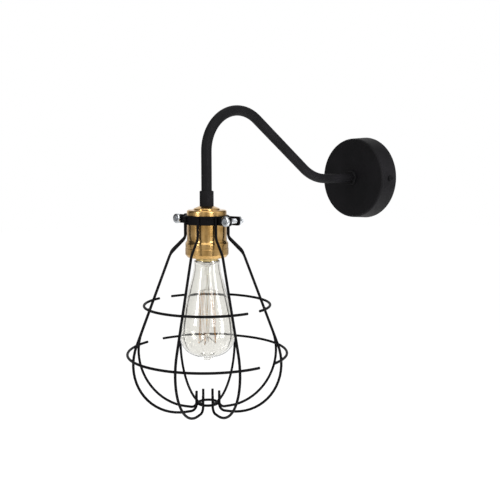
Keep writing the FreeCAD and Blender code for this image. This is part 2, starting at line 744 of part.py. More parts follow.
def holder_skirt():
    """The spun brass skirt: a threaded neck inside the cap, a straight wall, a flare and a threaded foot."""
    body = on_lamp(new_body("holder_skirt"))
    sheet_thick = s.holder_sheet
    neck = holder_inside
    foot = s.ring_thread
    revolve(body, [
        (neck - sheet_thick, s.skirt_neck_top),
        (neck, s.skirt_neck_top),
        (neck, -s.cap_joint - s.seat_gap),
        (s.holder_radius, -s.cap_joint - s.seat_gap),
        (s.holder_radius, -s.skirt_foot, s.skirt_round),
        (s.flare_radius, -s.flare_end, s.flare_round),
        (s.flare_radius, s.seat_gap - s.ring_top),
        (foot, s.seat_gap - s.ring_top),
        (foot, skirt_end),
        (foot - sheet_thick, skirt_end),
        (foot - sheet_thick, sheet_thick - s.ring_top),
        (s.flare_radius - sheet_thick, sheet_thick - s.ring_top),
        (s.flare_radius - sheet_thick, -s.flare_end),
        (s.holder_radius - sheet_thick, -s.skirt_foot),
        (s.holder_radius - sheet_thick, -s.cap_joint - sheet_thick),
        (neck - sheet_thick, -s.cap_joint - sheet_thick),
    ])
    return body


def mouth_ring():
    """The threaded ring that closes the lampholder's mouth; it runs on the skirt's foot."""
    body = on_lamp(new_body("mouth_ring"))
    inner = s.ring_thread + s.fit_gap
    revolve(body, [
        (inner, -s.ring_top),
        (s.ring_radius, -s.ring_top, s.ring_edge_round),
        (s.ring_radius, -s.ring_straight, s.ring_round),
        (s.ring_radius - s.ring_bevel, -s.ring_bottom, s.ring_face_round),
        (s.ring_mouth, -s.ring_bottom),
        (s.ring_mouth, s.ring_lip - s.ring_bottom),
        (inner, s.ring_lip - s.ring_bottom),
    ])
    return body


def socket_insert():
    """The glazed porcelain: a solid head with wire ways, and a cup round the screw shell."""
    body = on_lamp(new_body("socket_insert"))
    well = shell_outside + s.insert_gap
    revolve(body, [
        (0, s.insert_top), (porcelain_radius, s.insert_top, s.insert_round),
        (porcelain_radius, -s.insert_bottom), (well, -s.insert_bottom),
        (well, -s.insert_floor), (0, -s.insert_floor),
    ])
    doc.recompute()
    ways = new_sketch(body, "XY_Plane", s.insert_top)
    for side in (-1, 1):
        draw_circle(ways, s.terminal_reach * side, 0, s.core_radius + s.fit_gap * 4)
    pocket(body, ways, s.terminal_depth)
    return body


def screw_shell():
    """The rolled brass shell that takes the bulb's thread."""
    body = on_lamp(new_body("screw_shell"))
    low = -s.shell_mouth
    high = -s.insert_floor - s.seat_gap
    revolve(body, [
        (shell_inside, low), (shell_outside, low), (shell_outside, high), (s.shell_floor_hole, high),
        (s.shell_floor_hole, high - s.shell_sheet), (shell_inside, high - s.shell_sheet),
    ])
    return body


def centre_contact():
    """The sprung tongue at the socket's floor, in a loop that bears on the bulb's tip."""
    body = on_lamp(new_body("centre_contact"))
    strip = new_sketch(body, "XZ_Plane")
    top = -s.insert_floor - s.seat_gap
    low = tip_height + s.contact_gap
    thick = s.contact_sheet
    nose = s.contact_nose
    bend = s.contact_round
    tail = (s.contact_reach + nose) / 2
    tail_height = top - nose
    draw(strip, [
        (-s.contact_reach, top), (s.contact_reach, top), (nose, low, bend), (-nose, low, bend),
        (-tail, tail_height), (thick - tail, tail_height), (thick - nose, low + thick, bend / 2),
        (nose - thick, low + thick, bend / 2), (s.contact_reach - 2 * thick, top - thick),
        (-s.contact_reach, top - thick),
    ])
    pad(body, strip, s.contact_width, middle=True)
    return body


def terminal_screws():
    """Two brass terminal screws on the porcelain's head."""
    body = on_lamp(new_body("terminal_screws", compound=True))
    heads = new_sketch(body, "XY_Plane", s.insert_top + s.seat_gap)
    for side in (-1, 1):
        draw_circle(heads, 0, s.terminal_reach * side, s.terminal_screw_radius)
    pad(body, heads, s.terminal_screw_height)
    return body


# ---------------------------------------------------------------------------------------------------------
# Bulb
# ---------------------------------------------------------------------------------------------------------
def bulb_glass():
    """A blown envelope: a neck, a cone that swells to a round end with its sealed pip, and one even wall."""
    body = on_lamp(new_body("bulb_glass"))
    wall = s.glass_wall
    inside = s.bulb_radius - wall
    rim = -s.bulb_rim - s.seat_gap
    dish = -s.bulb_end - s.bulb_dish
    revolve(body, [
        (s.bulb_cap_root, rim),
        (s.bulb_neck_radius, rim, s.bulb_rim_round),
        (s.bulb_neck_radius, -s.bulb_neck_end, s.bulb_neck_round),
        (s.bulb_radius, -s.bulb_shoulder, s.bulb_shoulder_round),
        (s.bulb_radius, -s.bulb_end, s.bulb_end_round),
        (s.pip_foot, dish, s.pip_round),
        (s.pip_radius, -s.pip_end, s.pip_round),
        (0, -s.pip_end),
        (0, dish + wall),
        (inside, wall - s.bulb_end, s.bulb_end_round - wall),
        (inside, -s.bulb_shoulder, s.bulb_shoulder_round - wall),
        (s.bulb_neck_radius - wall, -s.bulb_neck_end, s.bulb_neck_round + wall),
        (s.bulb_neck_radius - wall, rim - wall),
        (s.bulb_cap_root, rim - wall),
    ])
    return body


def bulb_cap():
    """The rolled cap: rounded thread crests, a bevelled shoulder and an open top."""
    body = on_lamp(new_body("bulb_cap"))
    crest = s.bulb_cap_radius
    valley = s.bulb_cap_root
    wall = s.bulb_cap_sheet
    bevel_start = thread_top - s.bulb_cap_bevel / 2
    foot = -s.bulb_rim
    band_top = foot + s.bulb_rim_band
    corners = [(valley - wall, foot), (crest, foot), (crest, band_top)]
    height = band_top + wall
    for turn in range(CAP_TURNS):
        corners += [(valley, height), (crest, height + s.bulb_thread_pitch / 2)]
        height = height + s.bulb_thread_pitch
    corners += [(valley, height), (valley, bevel_start), (valley - s.bulb_cap_bevel, thread_top),
                (bead_hole, thread_top - wall), (valley - wall, bevel_start - wall)]
    revolve(body, corners)
    return body


def bulb_insulator():
    """The black glass bead that carries the tip contact."""
    body = on_lamp(new_body("bulb_insulator"))
    base = thread_top - s.bead_seat
    widest = bead_hole - s.fit_gap
    revolve(body, [
        (0, base), (widest - s.bead_seat / 2, base), (widest, thread_top), (s.bead_radius, bead_top),
        (0, bead_top),
    ])
    return body


def bulb_contact():
    """The soldered tip contact."""
    body = on_lamp(new_body("bulb_contact"))
    base = bead_top + s.seat_gap
    revolve(body, [
        (0, base), (s.bulb_tip_radius, base), (s.bulb_tip_radius - s.bulb_tip_height, tip_height),
        (0, tip_height),
    ])
    return body


def glass_stem():
    """The flared tube sealed in the neck, its press, and a thin rod with a button for each set of hooks."""
    body = on_lamp(new_body("glass_stem"))
    flare = s.bulb_neck_radius - s.glass_wall - s.fit_gap
    flare_top = -s.bulb_rim - s.seat_gap - s.glass_wall - s.fit_gap
    press_top = s.press_height - s.press_end
    waist_start = press_top + 2 * (s.press_radius - s.stem_waist)
    profile = [(0, -s.lower_button - s.button_height / 2)]
    for drop in (s.lower_button, s.upper_button):
        low = -drop - s.button_height / 2
        high = s.button_height / 2 - drop
        profile += [(s.button_radius, low, s.button_round), (s.button_radius, high, s.button_round),
                    (s.rod_radius, high)]
        if drop is s.lower_button:
            profile.append((s.rod_radius, -s.upper_button - s.button_height / 2))
    profile += [
        (s.rod_radius, -s.press_end),
        (s.press_radius, -s.press_end, s.button_round),
        (s.press_radius, press_top, s.button_round),
        (s.stem_waist, waist_start),
        (s.stem_waist, -s.bulb_rim - s.stem_flare, s.stem_waist_round),
        (flare, flare_top - s.glass_wall),
        (flare, flare_top),
        (0, flare_top),
    ]
    revolve(body, profile)
    return body


def around(radius, height, angle):
    return FreeCAD.Vector(radius.number * math.cos(angle), radius.number * math.sin(angle), height.number)


def round_wire(points, radius, bends=()):
    """A round wire through points, its corners mitred, or rounded to the bends that are given."""
    edges = []
    at = points[0]
    for corner, bend, follower in zip(points[1:], bends, points[2:]):
        arrive = (at - corner).normalize()
        leave = (follower - corner).normalize()
        half = arrive.getAngle(leave) / 2
        cut = bend / math.tan(half)
        first = corner + arrive * cut
        last = corner + leave * cut
        centre = corner + (arrive + leave).normalize() * (bend / math.sin(half))
        middle = centre + (corner - centre).normalize() * bend
        edges.append(Part.LineSegment(at, first).toShape())
        edges.append(Part.Arc(first, middle, last).toShape())
        at = last
    for point in points[len(bends) + 1:]:
        edges.append(Part.LineSegment(at, point).toShape())
        at = point
    circle = Part.Wire([Part.Circle(points[0], points[1] - points[0], radius).toShape()])
    mitred = 0 if bends else 1
    return Part.Wire(edges).makePipeShell([circle], True, False, mitred)


def feature(label, shape):
    item = doc.addObject("Part::Feature", label)
    item.Label = label
    item.Shape = shape
    return item


def filament_turns():
    """The turns of the filament, as (angle, whether it is an upper turn)."""
    spacing = 2 * math.pi / (FILAMENT_STRANDS + 1)
    return [(spacing * turn, turn % 2 == 0) for turn in range(FILAMENT_STRANDS + 1)]


def filament():
    """A squirrel cage: one wire that runs up and down between the upper and the lower hooks."""
    points = []
    for angle, upper in filament_turns():
        reach = s.filament_top_radius if upper else s.filament_bottom_radius
        drop = s.filament_top if upper else s.filament_bottom
        points.append(around(reach, -drop, angle))
    return on_lamp(feature("filament", round_wire(points, s.filament_wire.number)))


def filament_supports():
    """Hook wires fanned from the two buttons to the filament's turns, and two lead wires from the press."""
    clear = s.filament_wire + s.support_wire + s.fit_gap * 4
    under = s.support_wire + s.seat_gap
    upper_start = -s.upper_button - s.button_height / 2 - under
    lower_start = -s.lower_button - s.button_height / 2 - under
    turns = filament_turns()
    wires = []
    for number, (angle, upper) in enumerate(turns):
        if not upper:
            start = around(s.button_radius / 2, lower_start, angle)
            end = around(s.filament_bottom_radius - clear, clear - s.filament_bottom, angle)
        elif number in (0, len(turns) - 1):
            start = around(s.press_radius / 2, -s.press_end - under, angle)
            end = around(s.filament_top_radius - clear, clear - s.filament_top, angle)
        else:
            start = around(s.button_radius - s.support_wire, upper_start, angle)
            end = around(s.filament_top_radius - clear, -s.filament_top, angle)
        wires.append(round_wire([start, end], s.support_wire.number))
    return on_lamp(feature("filament_supports", Part.makeCompound(wires)))


# ---------------------------------------------------------------------------------------------------------
# Cage
# ---------------------------------------------------------------------------------------------------------
def clamp_band(label, turn):
    """Half of the strap: a half ring with an ear at each end, holed for the clamp screws."""
    body = on_lamp(new_body(label), turn=s.cage_turn + turn)
    outline = new_sketch(body, "XY_Plane")
    inner_x = root(band_inside * band_inside - ear_inner * ear_inner)
    outer_x = root(band_outside * band_outside - ear_outer * ear_outer)
    for radius, x, y in ((band_inside, inner_x, ear_inner), (band_outside, outer_x, ear_outer)):
        angle = math.atan2(y.number, x.number)
        circle = Part.Circle(FreeCAD.Vector(), FreeCAD.Vector(0, 0, 1), radius.number)
        arc = outline.addGeometry(Part.ArcOfCircle(circle, angle, math.pi - angle), False)
        hold_point(outline, arc, 3, 0, 0)
        hold_point(outline, arc, 1, x, y)
        hold(outline, "DistanceY", arc, 2, y)
    for side in (-1, 1):
        draw(outline, [(inner_x * side, ear_inner), (s.ear_reach * side, ear_inner),
                       (s.ear_reach * side, ear_outer), (outer_x * side, ear_outer)], closed=False)
    pad(body, outline, s.band_height, middle=True)
    doc.recompute()
    holes = new_sketch(body, "XZ_Plane")
    for side in (-1, 1):
        draw_circle(holes, s.clamp_screw_reach * side, 0, s.clamp_screw_radius + s.fit_gap * 3)
    cut = pocket(body, holes, 2 * ear_outer)
    doc.recompute()
    corners = []
    shape = cut.Shape
    for index, edge in enumerate(shape.Edges, start=1):
        box = edge.BoundBox
        level = box.ZLength < 0.01 and box.XLength < 0.01
        if level and abs(abs(box.XMin) - s.ear_reach.number) < 0.01:
            corners.append(f"Edge{index}")
    rounded = body.newObject("PartDesign::Fillet", f"{label}_corners")
    rounded.Base = (cut, corners)
    bind(rounded, "Radius", s.ear_round)
    body.Tip = rounded
    return body


def clamp_screws():
    """Two socket-headed screws through the ears, heads to the front."""
    body = on_lamp(new_body("clamp_screws", compound=True), turn=s.cage_turn)
    under = ear_outer + s.seat_gap
    end = under + s.clamp_head_height
    for name, start, length, radius in (("head", under, s.clamp_head_height, s.clamp_head_radius),
                                        ("shank", under - s.clamp_screw_length, s.clamp_screw_length,
                                         s.clamp_screw_radius)):
        rounds = new_sketch(body, "XZ_Plane", start)
        for side in (-1, 1):
            draw_circle(rounds, s.clamp_screw_reach * side, 0, radius)
        pad(body, rounds, length)
    doc.recompute()
    keys = new_sketch(body, "XZ_Plane", end)
    for side in (-1, 1):
        draw_hexagon(keys, s.clamp_screw_reach * side, as_size(0), s.clamp_socket)
    cut = pocket(body, keys, s.clamp_head_height / 2)
    body.Tip = cut
    return body


def clamp_nuts():
    """Two hexagon nuts behind the rear ears."""
    body = on_lamp(new_body("clamp_nuts", compound=True), turn=s.cage_turn)
    far = ear_outer + s.seat_gap + s.clamp_nut_height
    faces = new_sketch(body, "XZ_Plane", -far)
    for side in (-1, 1):
        draw_hexagon(faces, s.clamp_screw_reach * side, as_size(0), s.clamp_nut_flats)
        draw_circle(faces, s.clamp_screw_reach * side, 0, s.clamp_screw_radius + s.fit_gap)
    pad(body, faces, s.clamp_nut_height)
    return body


def cage_rib(label, turn):
    """One bent wire: down beside the lampholder, out, down the slope, round under the bulb and up."""
    body = on_lamp(new_body(label), turn=s.cage_turn + turn)
    pipe(body, "XZ_Plane", [
        (rib_reach, s.rib_top),
        (rib_reach, -s.first_kink, s.first_round),
        (s.shoulder_radius, -s.shoulder_drop, s.shoulder_round),
        (lower_corner_reach, -s.cage_bottom, s.cage_round),
        (s.hook_reach, -s.cage_bottom, s.hook_radius),
        (s.hook_reach, s.hook_rise - s.cage_bottom),
    ], s.wire_radius)
    return body


def cage_ring(label, reach, drop, turn=None):
    """A wire ring, closed, or open at both ends where a turn is given."""
    item = doc.addObject("Part::Torus", label)
    item.Label = label
    bind(item, "Radius1", reach)
    bind(item, "Radius2", s.wire_radius)
    bind(item, "Placement.Base.y", -s.lamp_reach)
    bind(item, "Placement.Base.z", -s.lamp_drop - drop)
    if turn is not None:
        bind(item, "Angle3", 180 - 2 * s.ring_gap_angle)
        start = s.cage_turn + s.ring_gap_angle + turn
        item.Placement.Rotation = FreeCAD.Rotation(FreeCAD.Vector(0, 0, 1), start.number)
        item.setExpression("Placement.Rotation.Angle", f"{start.text} * 1 deg")
    return item


# ---------------------------------------------------------------------------------------------------------
# Wiring, inside the arm
# ---------------------------------------------------------------------------------------------------------
def core(label, terminal, beside, way):
    """An insulated core from the terminal block, through the arm, to the porcelain's head."""
    lamp = -s.lamp_reach
    out = -s.bracket_sheet - s.block_depth / 2
    head = s.insert_top - s.lamp_drop
    route = [
        (terminal, out, -s.block_drop - s.block_height / 4),
        (terminal, out, s.core_rise - s.block_drop),
        (beside, out, -s.core_level),
        (beside, out, 0),
        (beside, lamp + second_corner, 0),
        (beside, lamp, first_corner),
        (beside, lamp, head + s.core_lift),
        (way, lamp, head + s.core_lift),
        (way, lamp, head + s.insert_gap - s.terminal_depth),
    ]
    points = [FreeCAD.Vector(*(as_size(value).number for value in place)) for place in route]
    bends = [s.core_bend] * 3 + [s.low_bend, s.top_bend] + [s.core_bend / 2] * 2
    return feature(label, round_wire(points, s.core_radius.number, [bend.number for bend in bends]))


# ---------------------------------------------------------------------------------------------------------
# The whole light
# ---------------------------------------------------------------------------------------------------------
pieces = [
    wall_bracket(),
    canopy_cup(),
    side_screws(),
    terminal_block(),
    ring("wall_collar", s.tube_radius + s.fit_gap, s.wall_collar_radius, s.canopy_depth + s.seat_gap,
         s.canopy_depth + s.wall_collar_length, edge=s.collar_edge, place=on_wall),
    ring("wall_nipple", s.nipple_bore, s.nipple_radius, inside_face - s.nipple_tail,
         s.canopy_depth + s.nipple_grip, place=on_wall),
    ring("canopy_washer", s.nipple_radius + s.fit_gap * 4, s.washer_radius,
         inside_face - s.seat_gap - s.washer_height, inside_face - s.seat_gap, place=on_wall),
    lock_nut("canopy_lock_nut", inside_face - s.seat_gap * 2 - s.washer_height - s.nut_height,
             s.nipple_radius + s.fit_gap, s.nut_flats, s.nut_height, on_wall),
    arm_tube(),
    lamp_collar(),
    ring("lamp_nipple", s.nipple_bore, s.nipple_radius, s.cap_top - s.lamp_nipple_tail,
         tube_start - s.seat_gap * 2),
    lock_nut("lamp_lock_nut", cap_floor - s.seat_gap - s.nut_height,
             s.nipple_radius + s.fit_gap, s.nut_flats, s.nut_height, on_lamp),
    holder_cap(),
    holder_skirt(),
    mouth_ring(),
    socket_insert(),
    screw_shell(),
    centre_contact(),
    terminal_screws(),
    bulb_glass(),
    bulb_cap(),
    bulb_insulator(),
    bulb_contact(),
    glass_stem(),
    filament(),
    filament_supports(),
    clamp_band("clamp_band_rear", 0),
    clamp_band("clamp_band_front", 180),
    clamp_screws(),
    clamp_nuts(),
    cage_ring("upper_ring_rear", upper_ring_reach, s.upper_ring_drop, 0),
    cage_ring("upper_ring_front", upper_ring_reach, s.upper_ring_drop, 180),
    cage_ring("lower_ring_rear", lower_ring_reach, s.lower_ring_drop, 0),
    cage_ring("lower_ring_front", lower_ring_reach, s.lower_ring_drop, 180),
    cage_ring("base_ring", base_ring_reach, s.cage_bottom - s.base_ring_rise),
    core("live_core", -s.block_width / 3, -s.core_offset, -s.terminal_reach),
    core("neutral_core", s.block_width / 3, s.core_offset, s.terminal_reach),
]
for number in range(RIBS):
    pieces.append(cage_rib(f"cage_rib_{number + 1}", 360 / RIBS * (number + 0.5)))

doc.recompute()
for item in doc.Objects:
    if "Invalid" in item.State or "Error" in item.State:
        raise RuntimeError(f"{item.Name} failed: {item.State}")
for item in pieces:
    if item.Shape.isNull() or not item.Shape.isValid():
        raise RuntimeError(f"{item.Label} has no valid shape")

os.makedirs("parts", exist_ok=True)
for item in pieces:
    item.Shape.exportStep(f"parts/{item.Label}.step")
    print(f"{item.Label:22s} solids {len(item.Shape.Solids)}  volume {item.Shape.Volume:10.1f} mm3")
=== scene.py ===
# %% [markdown]
# # A cage wall light
# A bent black arm on a round canopy holds a brass lampholder, and a wire cage is clamped round its bulb.
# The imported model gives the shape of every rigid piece. This lesson adds finishes, light, and finer pieces
# where the eye looks for them: the bent and welded wires, the blown bulb, its filament and the screws.
# The frame is the model's own, in metres: +Z is up and +Y runs into the wall. Profiles are written in
# millimetres, with heights on the lamp measured from the middle of the clamp band.

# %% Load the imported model
import bpy
import bmesh
import json
import math
from mathutils import Matrix, Vector


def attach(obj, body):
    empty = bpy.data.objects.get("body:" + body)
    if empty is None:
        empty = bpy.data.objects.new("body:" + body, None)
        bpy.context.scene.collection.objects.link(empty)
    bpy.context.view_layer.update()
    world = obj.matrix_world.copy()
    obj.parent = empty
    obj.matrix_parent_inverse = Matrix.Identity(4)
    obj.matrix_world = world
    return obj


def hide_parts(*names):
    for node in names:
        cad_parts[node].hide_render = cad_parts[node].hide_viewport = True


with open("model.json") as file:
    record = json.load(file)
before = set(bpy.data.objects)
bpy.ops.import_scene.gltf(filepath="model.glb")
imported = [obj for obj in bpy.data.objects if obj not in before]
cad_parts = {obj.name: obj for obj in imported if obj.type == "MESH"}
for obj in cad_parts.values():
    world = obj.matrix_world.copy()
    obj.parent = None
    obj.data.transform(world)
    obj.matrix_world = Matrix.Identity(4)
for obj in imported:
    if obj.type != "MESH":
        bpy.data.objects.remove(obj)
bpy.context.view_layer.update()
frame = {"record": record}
MM = 0.001
scene = bpy.context.scene

# %% [markdown]
# ## The camera
# The photograph looks slightly down on the light from its right. Its lens and place were worked out by
# matching the circles of the canopy and of the cage's rings, which a lens turns into ellipses of known
# proportions. A camera looks along its own -Z, so a track quaternion turns the direction into a rotation.

# %% Camera
LAMP_AXIS = Vector((0.0, -272.0 * MM, 0.0))
BAND_HEIGHT = -43.6 * MM
CAMERA_PLACE = Vector((699.1, -817.2, 22.9)) * MM
CAMERA_LOOK = Vector((-0.7483, 0.6535, -0.1138))
FOCAL_LENGTH = 56.1
SENSOR_WIDTH = 36.0
NEAREST = 10.0 * MM

camera_data = bpy.data.cameras.new("camera")
camera_data.lens = FOCAL_LENGTH
camera_data.sensor_width = SENSOR_WIDTH
camera_data.clip_start = NEAREST
camera = bpy.data.objects.new("camera", camera_data)
camera.location = CAMERA_PLACE
camera.rotation_euler = CAMERA_LOOK.to_track_quat("-Z", "Y").to_euler()
scene.collection.objects.link(camera)
scene.camera = camera
print("camera looks from", [round(value, 3) for value in camera.location])

# %% [markdown]
# ## Colours and nodes
# Colours are written as sRGB hex values, as a paint chart gives them, and one function turns them to the
# linear numbers that a renderer wants. One more function adds a node with its settings and its inputs, for
# materials and for Geometry Nodes alike, so that each recipe below reads from its first node to its last.

# %% Colour and node helpers
def linear(hex_colour):
    """sRGB hex text to a linear RGBA tuple."""
    channels = [int(hex_colour[i:i + 2], 16) / 255 for i in (1, 3, 5)]
    curve = [c / 12.92 if c <= 0.04045 else ((c + 0.055) / 1.055) ** 2.4 for c in channels]
    return (*curve, 1.0)


def add(tree, kind, inputs=None, stops=None, **settings):
    """Add a node. An input takes a value, a socket, a node (its first output) or a list of them to join;
    stops are a colour ramp's (place, colour) pairs; all else is set on the node itself."""
    node = tree.nodes.new(kind)
    for name, value in settings.items():
        setattr(node, name, value)
    if stops:
        band = node.color_ramp.elements
        band.remove(band[-1])
        band[0].position, band[0].color = stops[0]
        for place, colour in stops[1:]:
            band.new(place).color = colour
    for name, sources in (inputs or {}).items():
        for source in sources if isinstance(sources, list) else [sources]:
            if isinstance(source, bpy.types.Node):
                source = source.outputs[0]
            if isinstance(source, bpy.types.NodeSocket):
                tree.links.new(source, node.inputs[name])
            else:
                node.inputs[name].default_value = source
    return node


def empty_tree(owner):
    """The node tree of a material or a world, cleared."""
    owner.use_nodes = True
    owner.node_tree.nodes.clear()
    return owner.node_tree


def new_material(name):
    """A material, its tree, and the coordinates on the object that wears it."""
    material = bpy.data.materials.new(name)
    tree = empty_tree(material)
    return material, tree, add(tree, "ShaderNodeTexCoord").outputs["Object"]


def per_mm(spacing):
    """Noise scale, in cells per metre, for a spacing in millimetres."""
    return 1 / (spacing * MM)


print("brass in linear light:", [round(value, 3) for value in linear("#cba76f")])

# %% [markdown]
# ## Black powder coat
# The arm and the canopy are steel with a matte black polyester powder coat. Powder melts into a fine
# orange-peel skin, about 0.7 mm from crest to crest, so two noise textures give its crests and its grain
# through Bump nodes; the real grain is finer than the 0.25 mm used here. The eye gets a soft sheen without a
# sharp reflection. The colour is a dark neutral grey rather than pure black, or no edge would ever show. The
# cage and its clamp were dipped instead, which leaves them darker and a little smoother.

# %% Powder coat
PEEL_SPACING = 0.7
GRAIN_SPACING = 0.25
COAT_DRIFT = 30.0


def powder_coat(name, colour, roughness, shine):
    material, tree, place = new_material(name)
    peel = add(tree, "ShaderNodeTexNoise", {"Vector": place, "Scale": per_mm(PEEL_SPACING), "Detail": 2.0})
    grain = add(tree, "ShaderNodeTexNoise", {"Vector": place, "Scale": per_mm(GRAIN_SPACING), "Detail": 1.0})
    drift = add(tree, "ShaderNodeTexNoise", {"Vector": place, "Scale": per_mm(COAT_DRIFT), "Detail": 3.0})
    crests = add(tree, "ShaderNodeBump", {"Height": peel, "Strength": 0.35, "Distance": 0.05 * MM})
    skin = add(tree, "ShaderNodeBump", {
        "Height": grain, "Strength": 0.2, "Distance": 0.02 * MM, "Normal": crests})
    shade = add(tree, "ShaderNodeValToRGB", {"Fac": drift},
                stops=[(0.3, linear(colour[0])), (0.7, linear(colour[1]))])
    rough = add(tree, "ShaderNodeMapRange", {
        "Value": peel, "To Min": roughness - 0.06, "To Max": roughness + 0.08})
    shader = add(tree, "ShaderNodeBsdfPrincipled", {
        "Base Color": shade, "Roughness": rough, "Normal": skin, "Specular IOR Level": shine})
    add(tree, "ShaderNodeOutputMaterial", {"Surface": shader})
    return material


black_coat = powder_coat("matte black powder coat", ("#09090a", "#100f11"), 0.55, 0.08)
wire_coat = powder_coat("black dip coat on wire", ("#060607", "#0a090b"), 0.5, 0.05)
print("coats:", black_coat.name, "and", wire_coat.name)

# %% [markdown]
# ## Satin brass
# The lampholder is spun from brass sheet and lightly brushed while it turns, so its fine scratches run in
# rings round its axis. A noise texture that is stretched along the ring direction gives those scratches: it
# reads the radius and the height, and barely changes round the axis. Such grooves smear each reflection up
# and down, so to the eye the brass glows in soft upright bands. Real brush marks are about 0.1 mm apart;
# these are 0.35 mm apart, because finer ones would be too fine to show. The same recipe in a paler tone
# gives the bulb's cap, and in grey the bright zinc plate of the screws.

# %% Brass and zinc
BRUSH_SPACING = 0.35
TARNISH_SPACING = 14.0
STRETCH = 0.4 * MM


def turned_metal(name, dark, pale, roughness, brush=0.25):
    material, tree, place = new_material(name)
    shift = add(tree, "ShaderNodeVectorMath", {0: place, 1: -LAMP_AXIS}, operation="ADD")
    parts = add(tree, "ShaderNodeSeparateXYZ", {"Vector": shift}).outputs
    flat = add(tree, "ShaderNodeCombineXYZ", {"X": parts["X"], "Y": parts["Y"]})
    radius = add(tree, "ShaderNodeVectorMath", {0: flat}, operation="LENGTH").outputs["Value"]
    turn = add(tree, "ShaderNodeMath", {0: parts["Y"], 1: parts["X"]}, operation="ARCTAN2")
    slow = add(tree, "ShaderNodeMath", {0: turn, 1: STRETCH}, operation="MULTIPLY")
    rings = add(tree, "ShaderNodeCombineXYZ", {"X": radius, "Y": parts["Z"], "Z": slow})
    scratches = add(tree, "ShaderNodeTexNoise", {
        "Vector": rings, "Scale": per_mm(BRUSH_SPACING), "Detail": 3.0})
    tarnish = add(tree, "ShaderNodeTexNoise", {
        "Vector": place, "Scale": per_mm(TARNISH_SPACING), "Detail": 4.0})
    shade = add(tree, "ShaderNodeValToRGB", {"Fac": tarnish},
                stops=[(0.32, linear(dark)), (0.62, linear(pale))])
    rough = add(tree, "ShaderNodeMapRange", {
        "Value": scratches, "To Min": roughness - 0.07, "To Max": roughness + 0.1})
    grooves = add(tree, "ShaderNodeBump", {"Height": scratches, "Strength": brush, "Distance": 0.03 * MM})
    shader = add(tree, "ShaderNodeBsdfPrincipled", {
        "Base Color": shade, "Metallic": 1.0, "Roughness": rough, "Normal": grooves})
    add(tree, "ShaderNodeOutputMaterial", {"Surface": shader})
    return material


satin_brass = turned_metal("satin lacquered brass", "#a8834b", "#cba76f", 0.2)
cap_brass = turned_metal("pale rolled brass", "#c9ad6f", "#e0c88e", 0.25)
zinc = turned_metal("bright zinc plate", "#a9acb0", "#c3c6c9", 0.22, 0.15)
print("metals:", satin_brass.name, cap_brass.name, zinc.name, sep=", ")

# %% [markdown]
# ## Clear glass
# The envelope is blown soda glass about 0.8 mm thick. A real wall has two faces, and so has the piece that
# is turned below, so a plain refracting shader gives the bright and dark lines at its edges by itself. The
# faint grey tint takes a little light at each face, which sets the bulb off against the white room. Blowing
# leaves slow waves some 18 mm long, which bend the reflections a little.

# %% Glass
GLASS_IOR = 1.5
WAVE_LENGTH = 18.0


def clear_glass(name, tint, roughness):
    material, tree, place = new_material(name)
    wave = add(tree, "ShaderNodeTexNoise", {"Vector": place, "Scale": per_mm(WAVE_LENGTH), "Detail": 1.0})
    skin = add(tree, "ShaderNodeBump", {"Height": wave, "Strength": 0.012, "Distance": 0.4 * MM})
    shader = add(tree, "ShaderNodeBsdfPrincipled", {
        "Base Color": linear(tint), "Roughness": roughness, "Transmission Weight": 1.0, "IOR": GLASS_IOR,
        "Normal": skin})
    add(tree, "ShaderNodeOutputMaterial", {"Surface": shader})
    return material


envelope_glass = clear_glass("clear blown glass", "#efeeea", 0.0)
stem_glass = clear_glass("lead glass stem", "#f4f3ee", 0.02)
print("glass:", envelope_glass.name, "and", stem_glass.name)

# %% [markdown]
# ## Porcelain, plastics and lamp wires
# The small parts inside are glazed porcelain, black vitreous glass, moulded nylon and the PVC of the two
# cores. Each gets a slow change of colour and a fine bump, because no moulded or glazed surface is quite
# even: glaze and glass stay shiny, nylon and PVC look soft. The filament is fine wire that was carbonised,
# golden brown in the photograph, and its leads and hooks are dull grey nickel.

# %% Moulded parts and drawn wire
MOULD_DRIFT = 9.0
MOULD_SKIN = 1.2
WIRE_DRIFT = 3.0


def moulded(name, colour, roughness):
    material, tree, place = new_material(name)
    drift = add(tree, "ShaderNodeTexNoise", {"Vector": place, "Scale": per_mm(MOULD_DRIFT), "Detail": 3.0})
    skin = add(tree, "ShaderNodeTexNoise", {"Vector": place, "Scale": per_mm(MOULD_SKIN), "Detail": 2.0})
    shade = add(tree, "ShaderNodeValToRGB", {"Fac": drift},
                stops=[(0.3, linear(colour[0])), (0.7, linear(colour[1]))])
    bumps = add(tree, "ShaderNodeBump", {"Height": skin, "Strength": 0.12, "Distance": 0.05 * MM})
    rough = add(tree, "ShaderNodeMapRange", {
        "Value": skin, "To Min": roughness - 0.04, "To Max": roughness + 0.05})
    shader = add(tree, "ShaderNodeBsdfPrincipled", {"Base Color": shade, "Roughness": rough, "Normal": bumps})
    add(tree, "ShaderNodeOutputMaterial", {"Surface": shader})
    return material


def drawn_wire(name, dark, pale, roughness):
    material, tree, place = new_material(name)
    drift = add(tree, "ShaderNodeTexNoise", {"Vector": place, "Scale": per_mm(WIRE_DRIFT), "Detail": 2.0})
    shade = add(tree, "ShaderNodeValToRGB", {"Fac": drift}, stops=[(0.3, linear(dark)), (0.7, linear(pale))])
    rough = add(tree, "ShaderNodeMapRange", {
        "Value": drift, "To Min": roughness - 0.05, "To Max": roughness + 0.1})
    shader = add(tree, "ShaderNodeBsdfPrincipled", {"Base Color": shade, "Metallic": 1.0, "Roughness": rough})
    add(tree, "ShaderNodeOutputMaterial", {"Surface": shader})
    return material


